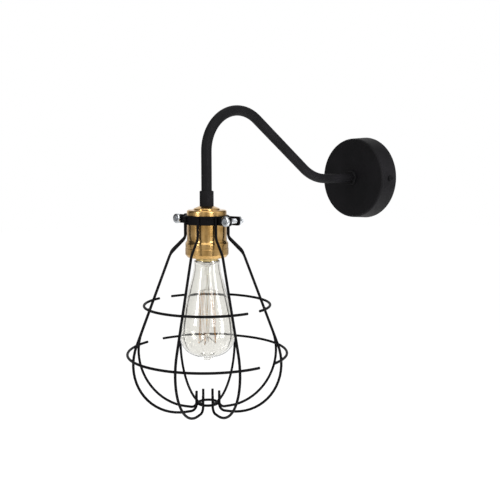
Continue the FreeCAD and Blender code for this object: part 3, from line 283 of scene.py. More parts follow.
porcelain = moulded("glazed porcelain", ("#e9e6dc", "#f2efe6"), 0.15)
vitrite = moulded("black vitreous glass", ("#0e0e10", "#17171a"), 0.12)
nylon = moulded("moulded nylon", ("#dad8d0", "#e6e4dd"), 0.45)
brown_pvc = moulded("brown PVC", ("#3d2416", "#4a2c1b"), 0.4)
blue_pvc = moulded("blue PVC", ("#1c3f86", "#234a96"), 0.4)
filament_metal = drawn_wire("carbonised filament", "#a06c28", "#d29a48", 0.45)
lead_metal = drawn_wire("nickel lead wire", "#6f6a60", "#8d877a", 0.35)
print("materials so far:", len(bpy.data.materials))

# %% [markdown]
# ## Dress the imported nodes
# Every node of the model names a material slot in the record. Each node's object gets the finish of its
# slot. The glass stem and the filament's hooks and leads get one of their own, and every black piece of the
# cage gets the dipped coat.

# %% Assign finishes
FINISHES = {
    "black_coat": black_coat, "zinc_steel": zinc, "satin_brass": satin_brass, "cap_brass": cap_brass,
    "bulb_glass": envelope_glass, "tungsten": filament_metal, "porcelain": porcelain,
    "black_glass": vitrite, "white_nylon": nylon, "brown_pvc": brown_pvc, "blue_pvc": blue_pvc,
}
OWN_FINISH = {"glass_stem": stem_glass, "filament_supports": lead_metal}

slots = {row["node"]: row["material_slot"] for row in frame["record"]["subparts"]}
cage_nodes = set(frame["record"]["behaviour"]["bodies"]["cage"])
for node, slot in slots.items():
    piece = bpy.data.objects[node]
    finish = OWN_FINISH.get(node, FINISHES[slot])
    if slot == "black_coat" and node in cage_nodes:
        finish = wire_coat
    piece.data.materials.clear()
    piece.data.materials.append(finish)
print("dressed", len(slots), "nodes")

# %% [markdown]
# ## Drawing a profile
# Most pieces start as a run of straight lines with rounded corners. One function turns such a run into
# points: at each corner it puts an arc that meets both lines without a kink.

# %% Profiles
CURVE_STEP = math.radians(6)
LAMP = Matrix.Translation(LAMP_AXIS + Vector((0, 0, BAND_HEIGHT)))


def rounded(corners):
    """Points along corners (x, y) or (x, y, radius), in millimetres."""
    points = []
    for i, corner in enumerate(corners):
        at = Vector(corner[:2])
        if len(corner) == 2:
            points.append(at)
            continue
        arrive = (Vector(corners[i - 1][:2]) - at).normalized()
        leave = (Vector(corners[i + 1][:2]) - at).normalized()
        half = arrive.angle(leave) / 2
        cut = corner[2] / math.tan(half)
        first = at + arrive * cut
        centre = at + (arrive + leave).normalized() * (corner[2] / math.sin(half))
        sweep = (first - centre).angle_signed(at + leave * cut - centre)
        steps = max(2, math.ceil(abs(sweep) / CURVE_STEP))
        for step in range(steps + 1):
            points.append(centre + Matrix.Rotation(-sweep * step / steps, 2) @ (first - centre))
    return points


print("a square corner of radius 5 gets", len(rounded([(0, 0), (10, 0, 5), (10, 10)])) - 2, "points")

# %% [markdown]
# ## A lathe
# Glass, screws and nuts are round about an axis, so a lathe turns their profiles. A row of the profile may
# also follow a hexagon or a cross instead of a circle, which is how a turned head gets its recess and how a
# nut gets its flats. Cylinders joined by booleans could do the same, but one profile is shorter and leaves no
# seams. One shape can be set at several places, because the screws come in pairs.

# %% The lathe
def circle(radius, angle):
    return radius


def hexagon(radius, angle):
    """Distance to the side of a hexagon that stands radius from the axis."""
    return radius / math.cos(angle % math.radians(60) - math.radians(30))


def cross(radius, angle):
    """A cross recess: full reach along four arms, a third of it between them."""
    off_arm = abs((angle + math.radians(45)) % math.radians(90) - math.radians(45))
    return radius if off_arm < math.radians(16) else radius / 3


def turned_shape(rows, segments):
    """A closed bmesh from rows of (radius, height) or (radius, height, outline), in mm, about Z."""
    shape = bmesh.new()
    rings = []
    for radius, height, *outline in rows:
        reach = outline[0] if outline else circle
        angles = [2 * math.pi * i / segments for i in range(segments)] if radius else [0.0]
        ring = [(reach(radius, angle) * MM, angle) for angle in angles]
        rings.append([shape.verts.new((r * math.cos(a), r * math.sin(a), height * MM)) for r, a in ring])
    pairs = list(zip(rings, rings[1:]))
    if rows[0][0] and rows[-1][0]:
        pairs.append((rings[-1], rings[0]))
    for low, high in pairs:
        if len(low) == len(high) == 1:
            continue
        for i in range(segments):
            after = (i + 1) % segments
            corners = [low[i % len(low)], low[after % len(low)], high[after % len(high)], high[i % len(high)]]
            shape.faces.new(list(dict.fromkeys(corners)))
    bmesh.ops.recalc_face_normals(shape, faces=shape.faces)
    return shape


def lathe(name, rows, finish, places, body, segments, sharp=40):
    """Turn rows once for each placing matrix, as one piece that rides on a body."""
    shape = turned_shape(rows, segments)
    mesh = bpy.data.meshes.new(name)
    shape.to_mesh(mesh)
    shape.clear()
    for place in places:
        copy = mesh.copy()
        copy.transform(place)
        shape.from_mesh(copy)
        bpy.data.meshes.remove(copy)
    shape.to_mesh(mesh)
    shape.free()
    mesh.shade_smooth()
    mesh.set_sharp_from_angle(angle=math.radians(sharp))
    mesh.materials.append(finish)
    piece = bpy.data.objects.new(name, mesh)
    scene.collection.objects.link(piece)
    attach(piece, body)
    print(f"{name}: {len(mesh.polygons)} faces")
    return piece


print("a hexagon 10 mm across its flats is", round(2 * hexagon(5, 0), 2), "mm across its corners")

# %% [markdown]
# ## The bulb's glass
# The envelope is one blown skin: a neck, a cone that swells to a rounded end, and the sealed pip where the
# air was drawn out. Its profile runs down the outside and back up the inside, so the wall is real. It could
# be a smoothed coarse mesh, but a fine lathe follows the profile and keeps its highlights unbroken.

# %% Envelope
WALL = 0.8
NECK, MOUTH, WIDEST = 14.85, 12.1, 32.0
SEAT, SHOULDER, BELLY, END, DISH, PIP_END = -46.42, -57.0, -118.0, -155.2, -157.9, -162.6
SEAT_ROUND, SHOULDER_ROUND, BELLY_ROUND, END_ROUND = 1.5, 60.0, 96.0, 23.0
PIP_FOOT, PIP_RADIUS, PIP_ROUND = 7.0, 5.0, 2.5

outside = rounded([
    (MOUTH, SEAT), (NECK, SEAT, SEAT_ROUND), (NECK, SHOULDER, SHOULDER_ROUND), (WIDEST, BELLY, BELLY_ROUND),
    (WIDEST, END, END_ROUND), (PIP_FOOT, DISH, PIP_ROUND), (PIP_RADIUS, PIP_END, PIP_ROUND), (0.0, PIP_END)])
inside = rounded([
    (0.0, DISH + WALL), (WIDEST - WALL, END + WALL, END_ROUND - WALL),
    (WIDEST - WALL, BELLY, BELLY_ROUND - WALL), (NECK - WALL, SHOULDER, SHOULDER_ROUND + WALL),
    (NECK - WALL, SEAT - WALL), (MOUTH, SEAT - WALL)])
glass = lathe("bulb_envelope", [tuple(point) for point in outside + inside], envelope_glass, [LAMP], "bulb",
              segments=96)
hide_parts("bulb_glass")

# %% [markdown]
# Inside, a flared tube is pressed flat on the lead wires and drawn out into a thin rod, which has a button
# for each set of hooks.

# %% Stem
ROD, BUTTON, PRESS, THROAT, FLARE = 1.2, 2.6, 3.6, 2.3, 13.9
LOWER_BUTTON, UPPER_BUTTON, HALF_BUTTON = -134.0, -79.0, 1.5
PRESS_LOW, PRESS_HIGH, THROAT_LOW, THROAT_HIGH = -63.0, -59.0, -56.4, -53.4
FLARE_LOW, FLARE_HIGH = -48.1, -47.3
FIRE_ROUND, THROAT_ROUND = 1.2, 2.0

stem_rows = rounded([
    (0.0, LOWER_BUTTON - HALF_BUTTON), (BUTTON, LOWER_BUTTON - HALF_BUTTON, FIRE_ROUND),
    (BUTTON, LOWER_BUTTON + HALF_BUTTON, FIRE_ROUND), (ROD, LOWER_BUTTON + HALF_BUTTON),
    (ROD, UPPER_BUTTON - HALF_BUTTON), (BUTTON, UPPER_BUTTON - HALF_BUTTON, FIRE_ROUND),
    (BUTTON, UPPER_BUTTON + HALF_BUTTON, FIRE_ROUND), (ROD, UPPER_BUTTON + HALF_BUTTON),
    (ROD, PRESS_LOW), (PRESS, PRESS_LOW, FIRE_ROUND), (PRESS, PRESS_HIGH, FIRE_ROUND), (THROAT, THROAT_LOW),
    (THROAT, THROAT_HIGH, THROAT_ROUND), (FLARE, FLARE_LOW), (FLARE, FLARE_HIGH), (0.0, FLARE_HIGH)])
stem = lathe("bulb_stem", [tuple(point) for point in stem_rows], stem_glass, [LAMP], "bulb", segments=40)
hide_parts("glass_stem")

# %% [markdown]
# ## Growing a piece
# Wires are grown by Geometry Nodes, which suit whatever follows a path or repeats round an axis. A tree gets
# named inputs, a small group of nodes sweeps a round section along a curve, and its end realizes instances
# and sets the material, because the export drops both otherwise.

# %% Tree helpers
def new_tree(name, sockets):
    """A geometry tree with inputs (name, short type): the tree and its inputs by name."""
    tree = bpy.data.node_groups.new(name, "GeometryNodeTree")
    for label, kind in sockets:
        tree.interface.new_socket(label, in_out="INPUT", socket_type=f"NodeSocket{kind}")
    tree.interface.new_socket("Geometry", in_out="OUTPUT", socket_type="NodeSocketGeometry")
    return tree, add(tree, "NodeGroupInput").outputs


def swept(tree, curve, radius, sides):
    """A round section swept along a curve, with closed ends."""
    section = add(tree, "GeometryNodeCurvePrimitiveCircle", {"Resolution": sides, "Radius": radius})
    mesh = add(tree, "GeometryNodeCurveToMesh", {"Curve": curve, "Profile Curve": section, "Fill Caps": True})
    return add(tree, "GeometryNodeSetShadeSmooth", {0: mesh})


def close_tree(tree, geometry, material):
    real = add(tree, "GeometryNodeRealizeInstances", {0: geometry})
    painted = add(tree, "GeometryNodeSetMaterial", {"Geometry": real, "Material": material})
    add(tree, "NodeGroupOutput", {0: painted})
    print(f"tree '{tree.name}' has {len(tree.nodes)} nodes")

# %% [markdown]
# A modifier's inputs are set by each socket's identifier. The result becomes a plain mesh on the lamp's
# axis, and the modifier and the guiding curve go before the piece is attached to its body.

# %% Grow and keep
def paths(name, runs):
    """A curve object with one straight-segment spline for each run of points in mm."""
    data = bpy.data.curves.new(name, "CURVE")
    data.dimensions = "3D"
    for run in runs:
        spline = data.splines.new("POLY")
        spline.points.add(len(run) - 1)
        for point, place in zip(spline.points, run):
            point.co = (*(Vector(place) * MM), 1.0)
    path = bpy.data.objects.new(name, data)
    scene.collection.objects.link(path)
    return path


def grow(name, tree, body, nodes, values):
    """Run a tree with values by input name, keep its result as a mesh, and let it ride on a body."""
    piece = bpy.data.objects.new(name, bpy.data.meshes.new(name))
    scene.collection.objects.link(piece)
    modifier = piece.modifiers.new("grow", "NODES")
    modifier.node_group = tree
    for socket in tree.interface.items_tree:
        if socket.in_out == "INPUT":
            modifier[socket.identifier] = values[socket.name]
    bpy.context.view_layer.update()
    grown = piece.evaluated_get(bpy.context.evaluated_depsgraph_get())
    mesh = bpy.data.meshes.new_from_object(grown)
    piece.modifiers.clear()
    piece.data = mesh
    mesh.transform(LAMP)
    mesh.polygons.foreach_set("material_index", [0] * len(mesh.polygons))
    mesh.materials.clear()
    mesh.materials.append(values["Material"])
    for value in values.values():
        if isinstance(value, bpy.types.Object):
            bpy.data.objects.remove(value)
    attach(piece, body)
    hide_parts(*nodes)
    print(f"{name}: {len(mesh.polygons)} faces in {values['Material'].name}")

# %% [markdown]
# ## Wire along a path
# The first tree takes any path. A coil radius above zero winds the path into a helix before it is swept:
# each point is moved sideways by a turning pair, the path's normal and the cross product of its tangent and
# normal, so the coil follows the path wherever it bends.

# %% The wire tree
POINTS_PER_TURN = 7

wire_tree, given = new_tree("wire along a path", [
    ("Path", "Object"), ("Wire radius", "Float"), ("Coil radius", "Float"), ("Coil pitch", "Float"),
    ("Sides", "Int"), ("Material", "Material")])
run = add(wire_tree, "GeometryNodeObjectInfo", {"Object": given["Path"]}).outputs["Geometry"]
spacing = add(wire_tree, "ShaderNodeMath", {0: given["Coil pitch"], 1: POINTS_PER_TURN}, operation="DIVIDE")
fine = add(wire_tree, "GeometryNodeResampleCurve", {"Curve": run, "Length": spacing}, mode="LENGTH")
index = add(wire_tree, "GeometryNodeInputIndex")
turn = add(wire_tree, "ShaderNodeMath", {0: index, 1: 2 * math.pi / POINTS_PER_TURN}, operation="MULTIPLY")
normal = add(wire_tree, "GeometryNodeInputNormal")
tangent = add(wire_tree, "GeometryNodeInputTangent")
side = add(wire_tree, "ShaderNodeVectorMath", {0: tangent, 1: normal}, operation="CROSS_PRODUCT")
moves = []
for direction, wave in ((normal, "COSINE"), (side, "SINE")):
    swing = add(wire_tree, "ShaderNodeMath", {0: turn}, operation=wave)
    reach = add(wire_tree, "ShaderNodeMath", {0: swing, 1: given["Coil radius"]}, operation="MULTIPLY")
    moves.append(add(wire_tree, "ShaderNodeVectorMath", {0: direction, "Scale": reach}, operation="SCALE"))
offset = add(wire_tree, "ShaderNodeVectorMath", {0: moves[0], 1: moves[1]}, operation="ADD")
wound = add(wire_tree, "GeometryNodeSetPosition", {"Geometry": fine, "Offset": offset})
coiled = add(wire_tree, "ShaderNodeMath", {0: given["Coil radius"], 1: 0.0}, operation="GREATER_THAN")
chosen = add(wire_tree, "GeometryNodeSwitch", {0: coiled, 1: run, 2: wound}, input_type="GEOMETRY")
close_tree(wire_tree, swept(wire_tree, chosen, given["Wire radius"], given["Sides"]), given["Material"])

# %% [markdown]
# ## Filament
# The filament is a squirrel cage: one wire with thirteen turns, on an upper and a lower circle by turns. A
# hot wire never hangs straight, so each strand is drawn in a little at its middle. The real wire and its coil
# are much finer than a pixel, so both are drawn as coarse as they need to be to show.

# %% Filament
TURNS = 13
UPPER = (9.0, -82.0)
LOWER = (10.5, -144.0)
SAG = 0.5
STRAND_STEPS = 8
FILAMENT_WIRE, COIL_RADIUS, COIL_PITCH = 0.16, 0.36, 1.4


def around(radius, height, angle):
    return Vector((radius * math.cos(angle), radius * math.sin(angle), height))


turns = [(2 * math.pi * turn / TURNS, UPPER if turn % 2 == 0 else LOWER) for turn in range(TURNS)]
strands = []
for (angle, end), (next_angle, next_end) in zip(turns, turns[1:]):
    for step in range(STRAND_STEPS):
        share = step / STRAND_STEPS
        point = around(*end, angle).lerp(around(*next_end, next_angle), share)
        slack = SAG * math.sin(math.pi * share)
        strands.append(point - Vector((point.x, point.y, 0)).normalized() * slack)
strands.append(around(*turns[-1][1], turns[-1][0]))
grow("filament_coil", wire_tree, "bulb", ["filament"], {
    "Path": paths("strands", [strands]), "Wire radius": FILAMENT_WIRE * MM, "Coil radius": COIL_RADIUS * MM,
    "Coil pitch": COIL_PITCH * MM, "Sides": 4, "Material": filament_metal})

# %% [markdown]
# Hooks fan out from the stem's two buttons and end in a small eye at each turn of the filament. Two leads run
# from the press to the filament's ends. All are plain wires, so they use the same tree without a coil.

# %% Hooks and leads
HOOK_WIRE = 0.3
EYE_LIFT = 0.85
EYE = [(0.75, 0.0), (0.9, 0.5), (1.5, 0.9)]
STARTS = {"lower": (1.3, -135.9), "upper": (2.2, -80.9), "lead": (1.8, -63.4)}

hooks = []
for number, (angle, (reach, height)) in enumerate(turns):
    kind = "lower" if number % 2 == 1 else "lead" if number in (0, TURNS - 1) else "upper"
    eye = height if kind == "upper" else height + EYE_LIFT
    bend = [around(reach - gap, eye + rise, angle) for gap, rise in EYE]
    hooks.append([around(*STARTS[kind], angle), *bend])
grow("filament_hooks", wire_tree, "bulb", ["filament_supports"], {
    "Path": paths("hooks", hooks), "Wire radius": HOOK_WIRE * MM, "Coil radius": 0.0,
    "Coil pitch": COIL_PITCH * MM, "Sides": 6, "Material": lead_metal})

# %% [markdown]
# ## The cage
# The cage is eight bent wires welded to three rings. Each rib starts under the clamp band, bends outwards,
# runs down to a wide corner, and ends in a hook that turns up beside the base ring. All eight are bent alike,
# so one run of points is enough for them.

# %% Cage sizes
RIB_COUNT = 8
CAGE_TURN = math.radians(7.0)
RIB_SLOPE = math.tan(math.radians(22.0))
WIRE = 1.5
BEAD = 1.35
RING_GAP = math.radians(8.0)
WIRE_SIDES, ARC_POINTS, BASE_POINTS = 16, 72, 48
BAND_REACH, RIB_TOP, RIB_NECK, NECK_BEND = 26.35, 4.0, -20.0, 9.0
ELBOW_REACH, ELBOW, ELBOW_BEND = 44.4, -37.0, 16.0
CAGE_BOTTOM, CORNER_BEND = -221.8, 61.3
HOOK_REACH, HOOK_TIP, HOOK_BEND = 14.35, -202.0, 7.0
RINGS = {"Upper": (72.35, -98.1), "Lower": (92.0, -154.1), "Base": (11.32, -214.6)}

corner_reach = ELBOW_REACH + (ELBOW - CAGE_BOTTOM) * RIB_SLOPE
rib = [(point.x, 0.0, point.y) for point in rounded([
    (BAND_REACH, RIB_TOP), (BAND_REACH, RIB_NECK, NECK_BEND), (ELBOW_REACH, ELBOW, ELBOW_BEND),
    (corner_reach, CAGE_BOTTOM, CORNER_BEND), (HOOK_REACH, CAGE_BOTTOM, HOOK_BEND),
    (HOOK_REACH, HOOK_TIP)])]
print(f"one rib has {len(rib)} points, and {RIB_COUNT} of them stand {360 / RIB_COUNT:.0f} degrees apart")

# %% [markdown]
# The second tree builds the whole cage from that one rib. A script could copy it eight times, but in a tree
# the number of ribs and their turn stay inputs. A row of points, one for each rib, holds an instance of the
# rib, each turned about the axis by its share of the circle.

# %% The cage tree
cage_tree, given = new_tree("cage of ribs and rings", [
    ("Rib", "Object"), ("Ribs", "Int"), ("Turn", "Float"), ("Wire radius", "Float"), ("Ring gap", "Float"),
    *((f"{ring} ring {size}", "Float") for ring in RINGS for size in ("radius", "height")),
    ("Bead radius", "Float"), ("Material", "Material")])


def place_round(thing, count, step, start):
    """Instances of one thing, each turned about the axis by a step more than the one before."""
    row = add(cage_tree, "GeometryNodePoints", {"Count": count})
    index = add(cage_tree, "GeometryNodeInputIndex")
    share = add(cage_tree, "ShaderNodeMath", {0: index, 1: step}, operation="MULTIPLY")
    angle = add(cage_tree, "ShaderNodeMath", {0: share, 1: start}, operation="ADD")
    turned = add(cage_tree, "ShaderNodeCombineXYZ", {"Z": angle})
    return add(cage_tree, "GeometryNodeInstanceOnPoints", {
        "Points": row, "Instance": thing, "Rotation": turned})


def set_at(thing, height, reach=0.0):
    """A thing moved out along X and up."""
    place = add(cage_tree, "ShaderNodeCombineXYZ", {"X": reach, "Z": height})
    return add(cage_tree, "GeometryNodeTransform", {"Geometry": thing, "Translation": place})


rib_step = add(cage_tree, "ShaderNodeMath", {0: 2 * math.pi, 1: given["Ribs"]}, operation="DIVIDE")
half_step = add(cage_tree, "ShaderNodeMath", {0: rib_step, 1: 2.0}, operation="DIVIDE")
rib_start = add(cage_tree, "ShaderNodeMath", {0: given["Turn"], 1: half_step}, operation="ADD")
rib_curve = add(cage_tree, "GeometryNodeObjectInfo", {"Object": given["Rib"]}).outputs["Geometry"]
rib_wire = swept(cage_tree, rib_curve, given["Wire radius"], WIRE_SIDES)
built = [place_round(rib_wire, given["Ribs"], rib_step, rib_start)]
print("ribs take", len(cage_tree.nodes), "nodes")

# %% [markdown]
# Each wide ring is an open arc that is set twice, half a turn apart, so that a gap is left at both sides of
# the clamp. The base ring is closed. A small weld bead sits where each rib touches a ring: on the inner side
# of the wide rings, and on the outer side of the base ring, because the ribs' hooks stand outside it.

# %% Rings and weld beads
ball = add(cage_tree, "GeometryNodeMeshIcoSphere", {"Radius": given["Bead radius"], "Subdivisions": 2})
bead = add(cage_tree, "GeometryNodeSetShadeSmooth", {0: ball})
both_gaps = add(cage_tree, "ShaderNodeMath", {0: given["Ring gap"], 1: 2.0}, operation="MULTIPLY")
sweep = add(cage_tree, "ShaderNodeMath", {0: math.pi, 1: both_gaps}, operation="SUBTRACT")
arc_start = add(cage_tree, "ShaderNodeMath", {0: given["Turn"], 1: given["Ring gap"]}, operation="ADD")
for ring in RINGS:
    reach, height = given[f"{ring} ring radius"], given[f"{ring} ring height"]
    if ring == "Base":
        hoop = add(cage_tree, "GeometryNodeCurvePrimitiveCircle", {
            "Resolution": BASE_POINTS, "Radius": reach})
        ring_wire = swept(cage_tree, hoop, given["Wire radius"], WIRE_SIDES)
    else:
        arc = add(cage_tree, "GeometryNodeCurveArc", {
            "Resolution": ARC_POINTS, "Radius": reach, "Start Angle": 0.0, "Sweep Angle": sweep})
        half_ring = swept(cage_tree, arc, given["Wire radius"], WIRE_SIDES)
        ring_wire = place_round(half_ring, 2, math.pi, arc_start)
    built.append(set_at(ring_wire, height))
    crossing = add(cage_tree, "ShaderNodeMath", {0: reach, 1: given["Wire radius"]},
                   operation="ADD" if ring == "Base" else "SUBTRACT")
    built.append(place_round(set_at(bead, height, crossing), given["Ribs"], rib_step, rib_start))
close_tree(cage_tree, add(cage_tree, "GeometryNodeJoinGeometry", {0: built}), given["Material"])

# %% Grow the cage
wire_nodes = [f"cage_rib_{number}" for number in range(1, RIB_COUNT + 1)] + ["base_ring"] + [
    f"{level}_ring_{half}" for level in ("upper", "lower") for half in ("front", "rear")]
ring_sizes = {f"{ring} ring {size}": value * MM for ring, pair in RINGS.items()
              for size, value in zip(("radius", "height"), pair)}
grow("cage_wires", cage_tree, "cage", wire_nodes, {
    "Rib": paths("rib", [rib]), "Ribs": RIB_COUNT, "Turn": CAGE_TURN, "Wire radius": WIRE * MM,
    "Ring gap": RING_GAP, "Bead radius": BEAD * MM, "Material": wire_coat, **ring_sizes})

# %% [markdown]
# ## Clamp screws and nuts
# Two M6 screws close the clamp. Their threads are turned grooves at the real pitch of 1 mm, and each head
# has a hexagon recess. The nuts are hexagons whose corners are turned away at both faces. Heights run along
# the screw from the middle of the clamp's gap.

# %% Clamp fasteners
QUARTER = math.radians(90)
EAR_REACH = 39.0
EAR_FACE = 7.77
HEAD, HEAD_RIM, HEAD_HEIGHT = 5.6, 5.4, 3.8
KEY, KEY_FLOOR = 2.0, 1.9
CREST, ROOT, SHANK, PITCH, RIDGES = 2.97, 2.55, 2.95, 1.0, 17
SCREW_END = EAR_FACE - 25.0
NUT_BORE, NUT_FACE, NUT_FLAT, NUT_HEIGHT, NUT_CHAMFER = 3.02, 4.7, 4.98, 4.0, 0.5

bolts = [LAMP @ Matrix.Rotation(CAGE_TURN, 4, "Z") @ Matrix.Translation((side * EAR_REACH * MM, 0, 0))
         @ Matrix.Rotation(QUARTER, 4, "X") for side in (-1, 1)]
head_top = EAR_FACE + HEAD_HEIGHT
thread = [row for ridge in range(RIDGES) for row in (
    (CREST, EAR_FACE - 8.2 - ridge * PITCH), (ROOT, EAR_FACE - 8.7 - ridge * PITCH))]
screws = lathe("clamp_screw_pair", [
    (0, EAR_FACE + KEY_FLOOR), (KEY, EAR_FACE + KEY_FLOOR, hexagon), (KEY, EAR_FACE + 3.75, hexagon),
    (KEY + 0.6, head_top), (HEAD - 0.7, head_top), (HEAD_RIM, head_top - 0.3), (HEAD, head_top - 0.9),
    (HEAD, EAR_FACE + 0.3), (HEAD_RIM, EAR_FACE), (SHANK, EAR_FACE), (SHANK, EAR_FACE - 8.0),
    *thread, (2.2, SCREW_END), (0, SCREW_END)], zinc, bolts, "cage", segments=48)
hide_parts("clamp_screws")
nut_low = -EAR_FACE - NUT_HEIGHT
nuts = lathe("clamp_nut_pair", [
    (NUT_BORE, nut_low), (NUT_FACE, nut_low), (NUT_FLAT, nut_low + NUT_CHAMFER, hexagon),
    (NUT_FLAT, -EAR_FACE - NUT_CHAMFER, hexagon), (NUT_FACE, -EAR_FACE), (NUT_BORE, -EAR_FACE)],
    zinc, bolts, "cage", segments=48, sharp=25)
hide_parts("clamp_nuts")

# %% [markdown]
# ## Canopy screws and the rivet
# The canopy's side screws have a low domed head with a cross recess. Their rows give the distance from the
# canopy's axis. A small pressed rivet on the lampholder's flare keeps its brass skirt from turning. Its rows
# give the distance from the lamp's axis.

# %% Side screws and rivet
SCREW_DEPTH = 11.0
SIDE_SEAT = 53.54
SIDE_END = 46.5
RIVET_DROP = -28.9
RIVET_TURN = math.radians(-28.4)

side_places = [Matrix.Translation((0, -SCREW_DEPTH * MM, 0)) @ Matrix.Rotation(side * QUARTER, 4, "Y")
               for side in (-1, 1)]
side_screws = lathe("canopy_screw_pair", [
    (0, SIDE_SEAT + 0.9), (2.1, SIDE_SEAT + 1.2, cross), (2.3, SIDE_SEAT + 2.3, cross),
    (2.7, SIDE_SEAT + 2.35), (3.4, SIDE_SEAT + 1.9), (3.85, SIDE_SEAT + 1.2), (4.0, SIDE_SEAT + 0.3),
    (3.9, SIDE_SEAT), (2.0, SIDE_SEAT), (2.0, SIDE_END + 0.5), (1.6, SIDE_END), (0, SIDE_END)],
    black_coat, side_places, "fixture", segments=64)
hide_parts("canopy_screws")

rivet_place = (LAMP @ Matrix.Translation((0, 0, RIVET_DROP * MM)) @ Matrix.Rotation(RIVET_TURN, 4, "Z")
               @ Matrix.Rotation(QUARTER, 4, "Y"))
rivet = lathe("holder_rivet", [(0, 24.78), (0.7, 24.7), (1.2, 24.5), (1.4, 24.2), (1.4, 23.6), (0, 23.6)],
              satin_brass, [rivet_place], "fixture", segments=24)

# %% [markdown]
# ## Room
# The photograph is a studio shot on pure white. A real white room would light the metal flatly, so only the
# rays that look for a background see white here: camera rays and refractions. Reflections see a studio with
# tall panels, bright and dark in turn, which draw the vertical bands on the brass. The panels are a ramp over
# the direction's turn from the camera, so each band can be read off the photograph: a vertical cylinder shows
# the direction at twice the angle of its own normal.

# %% World
ROOM_LIGHT = 0.7
PANELS = [(-180, 1.1), (-142, 1.0), (-118, 0.08), (-85, 0.04), (-64, 0.9), (-50, 1.3), (-34, 0.18),
          (-14, 1.3), (0, 0.25), (13, 0.95), (30, 0.15), (46, 0.6), (70, 1.4), (96, 0.9), (120, 0.1),
          (140, 0.6), (164, 1.1)]

world = bpy.data.worlds.new("white studio")
tree = empty_tree(world)
rays = add(tree, "ShaderNodeLightPath").outputs
direction = add(tree, "ShaderNodeTexCoord").outputs["Generated"]
away = Vector((CAMERA_LOOK.x, CAMERA_LOOK.y, 0.0)).normalized()
right = away.cross(Vector((0, 0, 1)))
parts = [add(tree, "ShaderNodeVectorMath", {0: direction, 1: axis}, operation="DOT_PRODUCT").outputs["Value"]
         for axis in (right, -away)]
turn = add(tree, "ShaderNodeMath", {0: parts[0], 1: parts[1]}, operation="ARCTAN2")
part_turn = add(tree, "ShaderNodeMath", {0: turn, 1: 2 * math.pi}, operation="DIVIDE")
share = add(tree, "ShaderNodeMath", {0: part_turn, 1: 0.5}, operation="ADD")
panels = add(tree, "ShaderNodeValToRGB", {"Fac": share},
             stops=[(angle / 360 + 0.5, (grey, grey, grey, 1.0)) for angle, grey in PANELS])
studio = add(tree, "ShaderNodeBackground", {"Color": panels})
room = add(tree, "ShaderNodeBackground", {"Color": (ROOM_LIGHT, ROOM_LIGHT, ROOM_LIGHT, 1.0)})
white = add(tree, "ShaderNodeBackground", {"Color": (1.0, 1.0, 1.0, 1.0)})
seen_in_metal = add(tree, "ShaderNodeMixShader", {0: rays["Is Glossy Ray"], 1: room, 2: studio})
clear_rays = add(tree, "ShaderNodeMath", {0: rays["Is Camera Ray"], 1: rays["Is Transmission Ray"]},
                 operation="MAXIMUM")
final = add(tree, "ShaderNodeMixShader", {0: clear_rays, 1: seen_in_metal, 2: white})
add(tree, "ShaderNodeOutputWorld", {"Surface": final})
scene.world = world
print("studio panels:", len(PANELS))

# %% [markdown]
# ## Floor
# The floor lies well below the light, as in a studio, and throws white light back up. Camera rays and
# refractions see it mostly glowing white, a little over 1, so that no line shows where it ends.

# %% Floor
FLOOR_HEIGHT = -0.62
FLOOR_HALF = 6.0
GLOW = 1.08
GLOW_SHARE = 0.85

floor_white = bpy.data.materials.new("white studio floor")
tree = empty_tree(floor_white)
rays = add(tree, "ShaderNodeLightPath").outputs
glow = add(tree, "ShaderNodeEmission", {"Color": (1.0, 1.0, 1.0, 1.0), "Strength": GLOW})
paint = add(tree, "ShaderNodeBsdfDiffuse", {"Color": linear("#f4f4f4")})
clear_rays = add(tree, "ShaderNodeMath", {0: rays["Is Camera Ray"], 1: rays["Is Transmission Ray"]},
                 operation="MAXIMUM")
share = add(tree, "ShaderNodeMath", {0: clear_rays, 1: GLOW_SHARE}, operation="MULTIPLY")
mixed = add(tree, "ShaderNodeMixShader", {0: share, 1: paint, 2: glow})
add(tree, "ShaderNodeOutputMaterial", {"Surface": mixed})

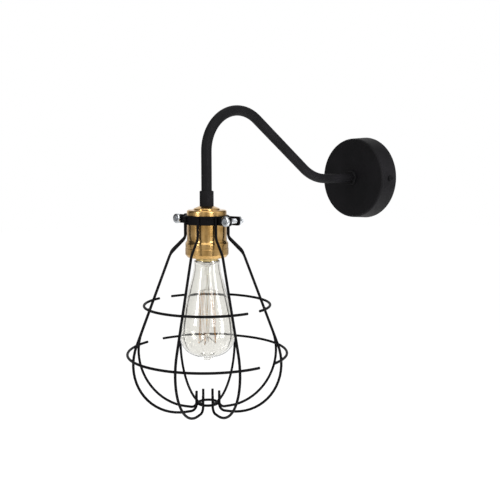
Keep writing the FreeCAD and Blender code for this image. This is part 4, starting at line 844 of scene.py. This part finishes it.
mesh = bpy.data.meshes.new("floor")
corners = [(x * FLOOR_HALF, y * FLOOR_HALF, FLOOR_HEIGHT) for x, y in ((-1, -1), (1, -1), (1, 1), (-1, 1))]
mesh.from_pydata(corners, [], [(0, 1, 2, 3)])
floor = bpy.data.objects.new("floor", mesh)
floor.data.materials.append(floor_white)
scene.collection.objects.link(floor)
print("floor at", FLOOR_HEIGHT, "m")

# %% [markdown]
# ## Lamps
# Two tall soft boxes stand to the left and right in front of the lamp, with their lower edges about level
# with the clamp. They draw the long white streaks on the bulb and help the panels to draw the bands on the
# brass. A third box stands at the right, behind the plane of the canopy's face, so it lights the canopy's
# side and not its face; reflections don't see it. The last one lights all from above.

# %% Soft boxes
SIDE_BOXES = [("left soft box", -1.1, 0.95), ("right soft box", 0.62, 1.1)]
BOX_SIZE, BOX_LIFT, BOX_POWER = (0.32, 1.25), 0.58, 10
EDGE_PLACE, EDGE_SIZE, EDGE_POWER = Vector((1.0, 0.25, 0.05)), (0.4, 0.9), 24
TOP_PLACE, TOP_SIZE, TOP_POWER = Vector((0.3, -0.3, 1.6)), (1.2, 1.2), 10


def soft_box(name, place, target, size, power):
    """A rectangular lamp that faces a point, with its size in metres and its power in watts."""
    data = bpy.data.lights.new(name, "AREA")
    data.shape = "RECTANGLE"
    data.size, data.size_y = size
    data.energy = power
    lamp = bpy.data.objects.new(name, data)
    lamp.location = place
    lamp.rotation_euler = (target - place).to_track_quat("-Z", "Y").to_euler()
    scene.collection.objects.link(lamp)
    return lamp


centre = LAMP_AXIS + Vector((0, 0, BAND_HEIGHT))
lift = Vector((0, 0, BOX_LIFT))
for name, side, forward in SIDE_BOXES:
    place = centre - away * forward + right * side + lift
    soft_box(name, place, centre + lift, BOX_SIZE, BOX_POWER)
edge_box = soft_box("edge soft box", EDGE_PLACE, EDGE_PLACE - Vector((1, 0, 0)), EDGE_SIZE, EDGE_POWER)
edge_box.visible_glossy = False
soft_box("top soft box", centre + TOP_PLACE, centre, TOP_SIZE, TOP_POWER)
print("lamps:", len(bpy.data.lights))

# %% View transform
scene.view_settings.view_transform = "Standard"
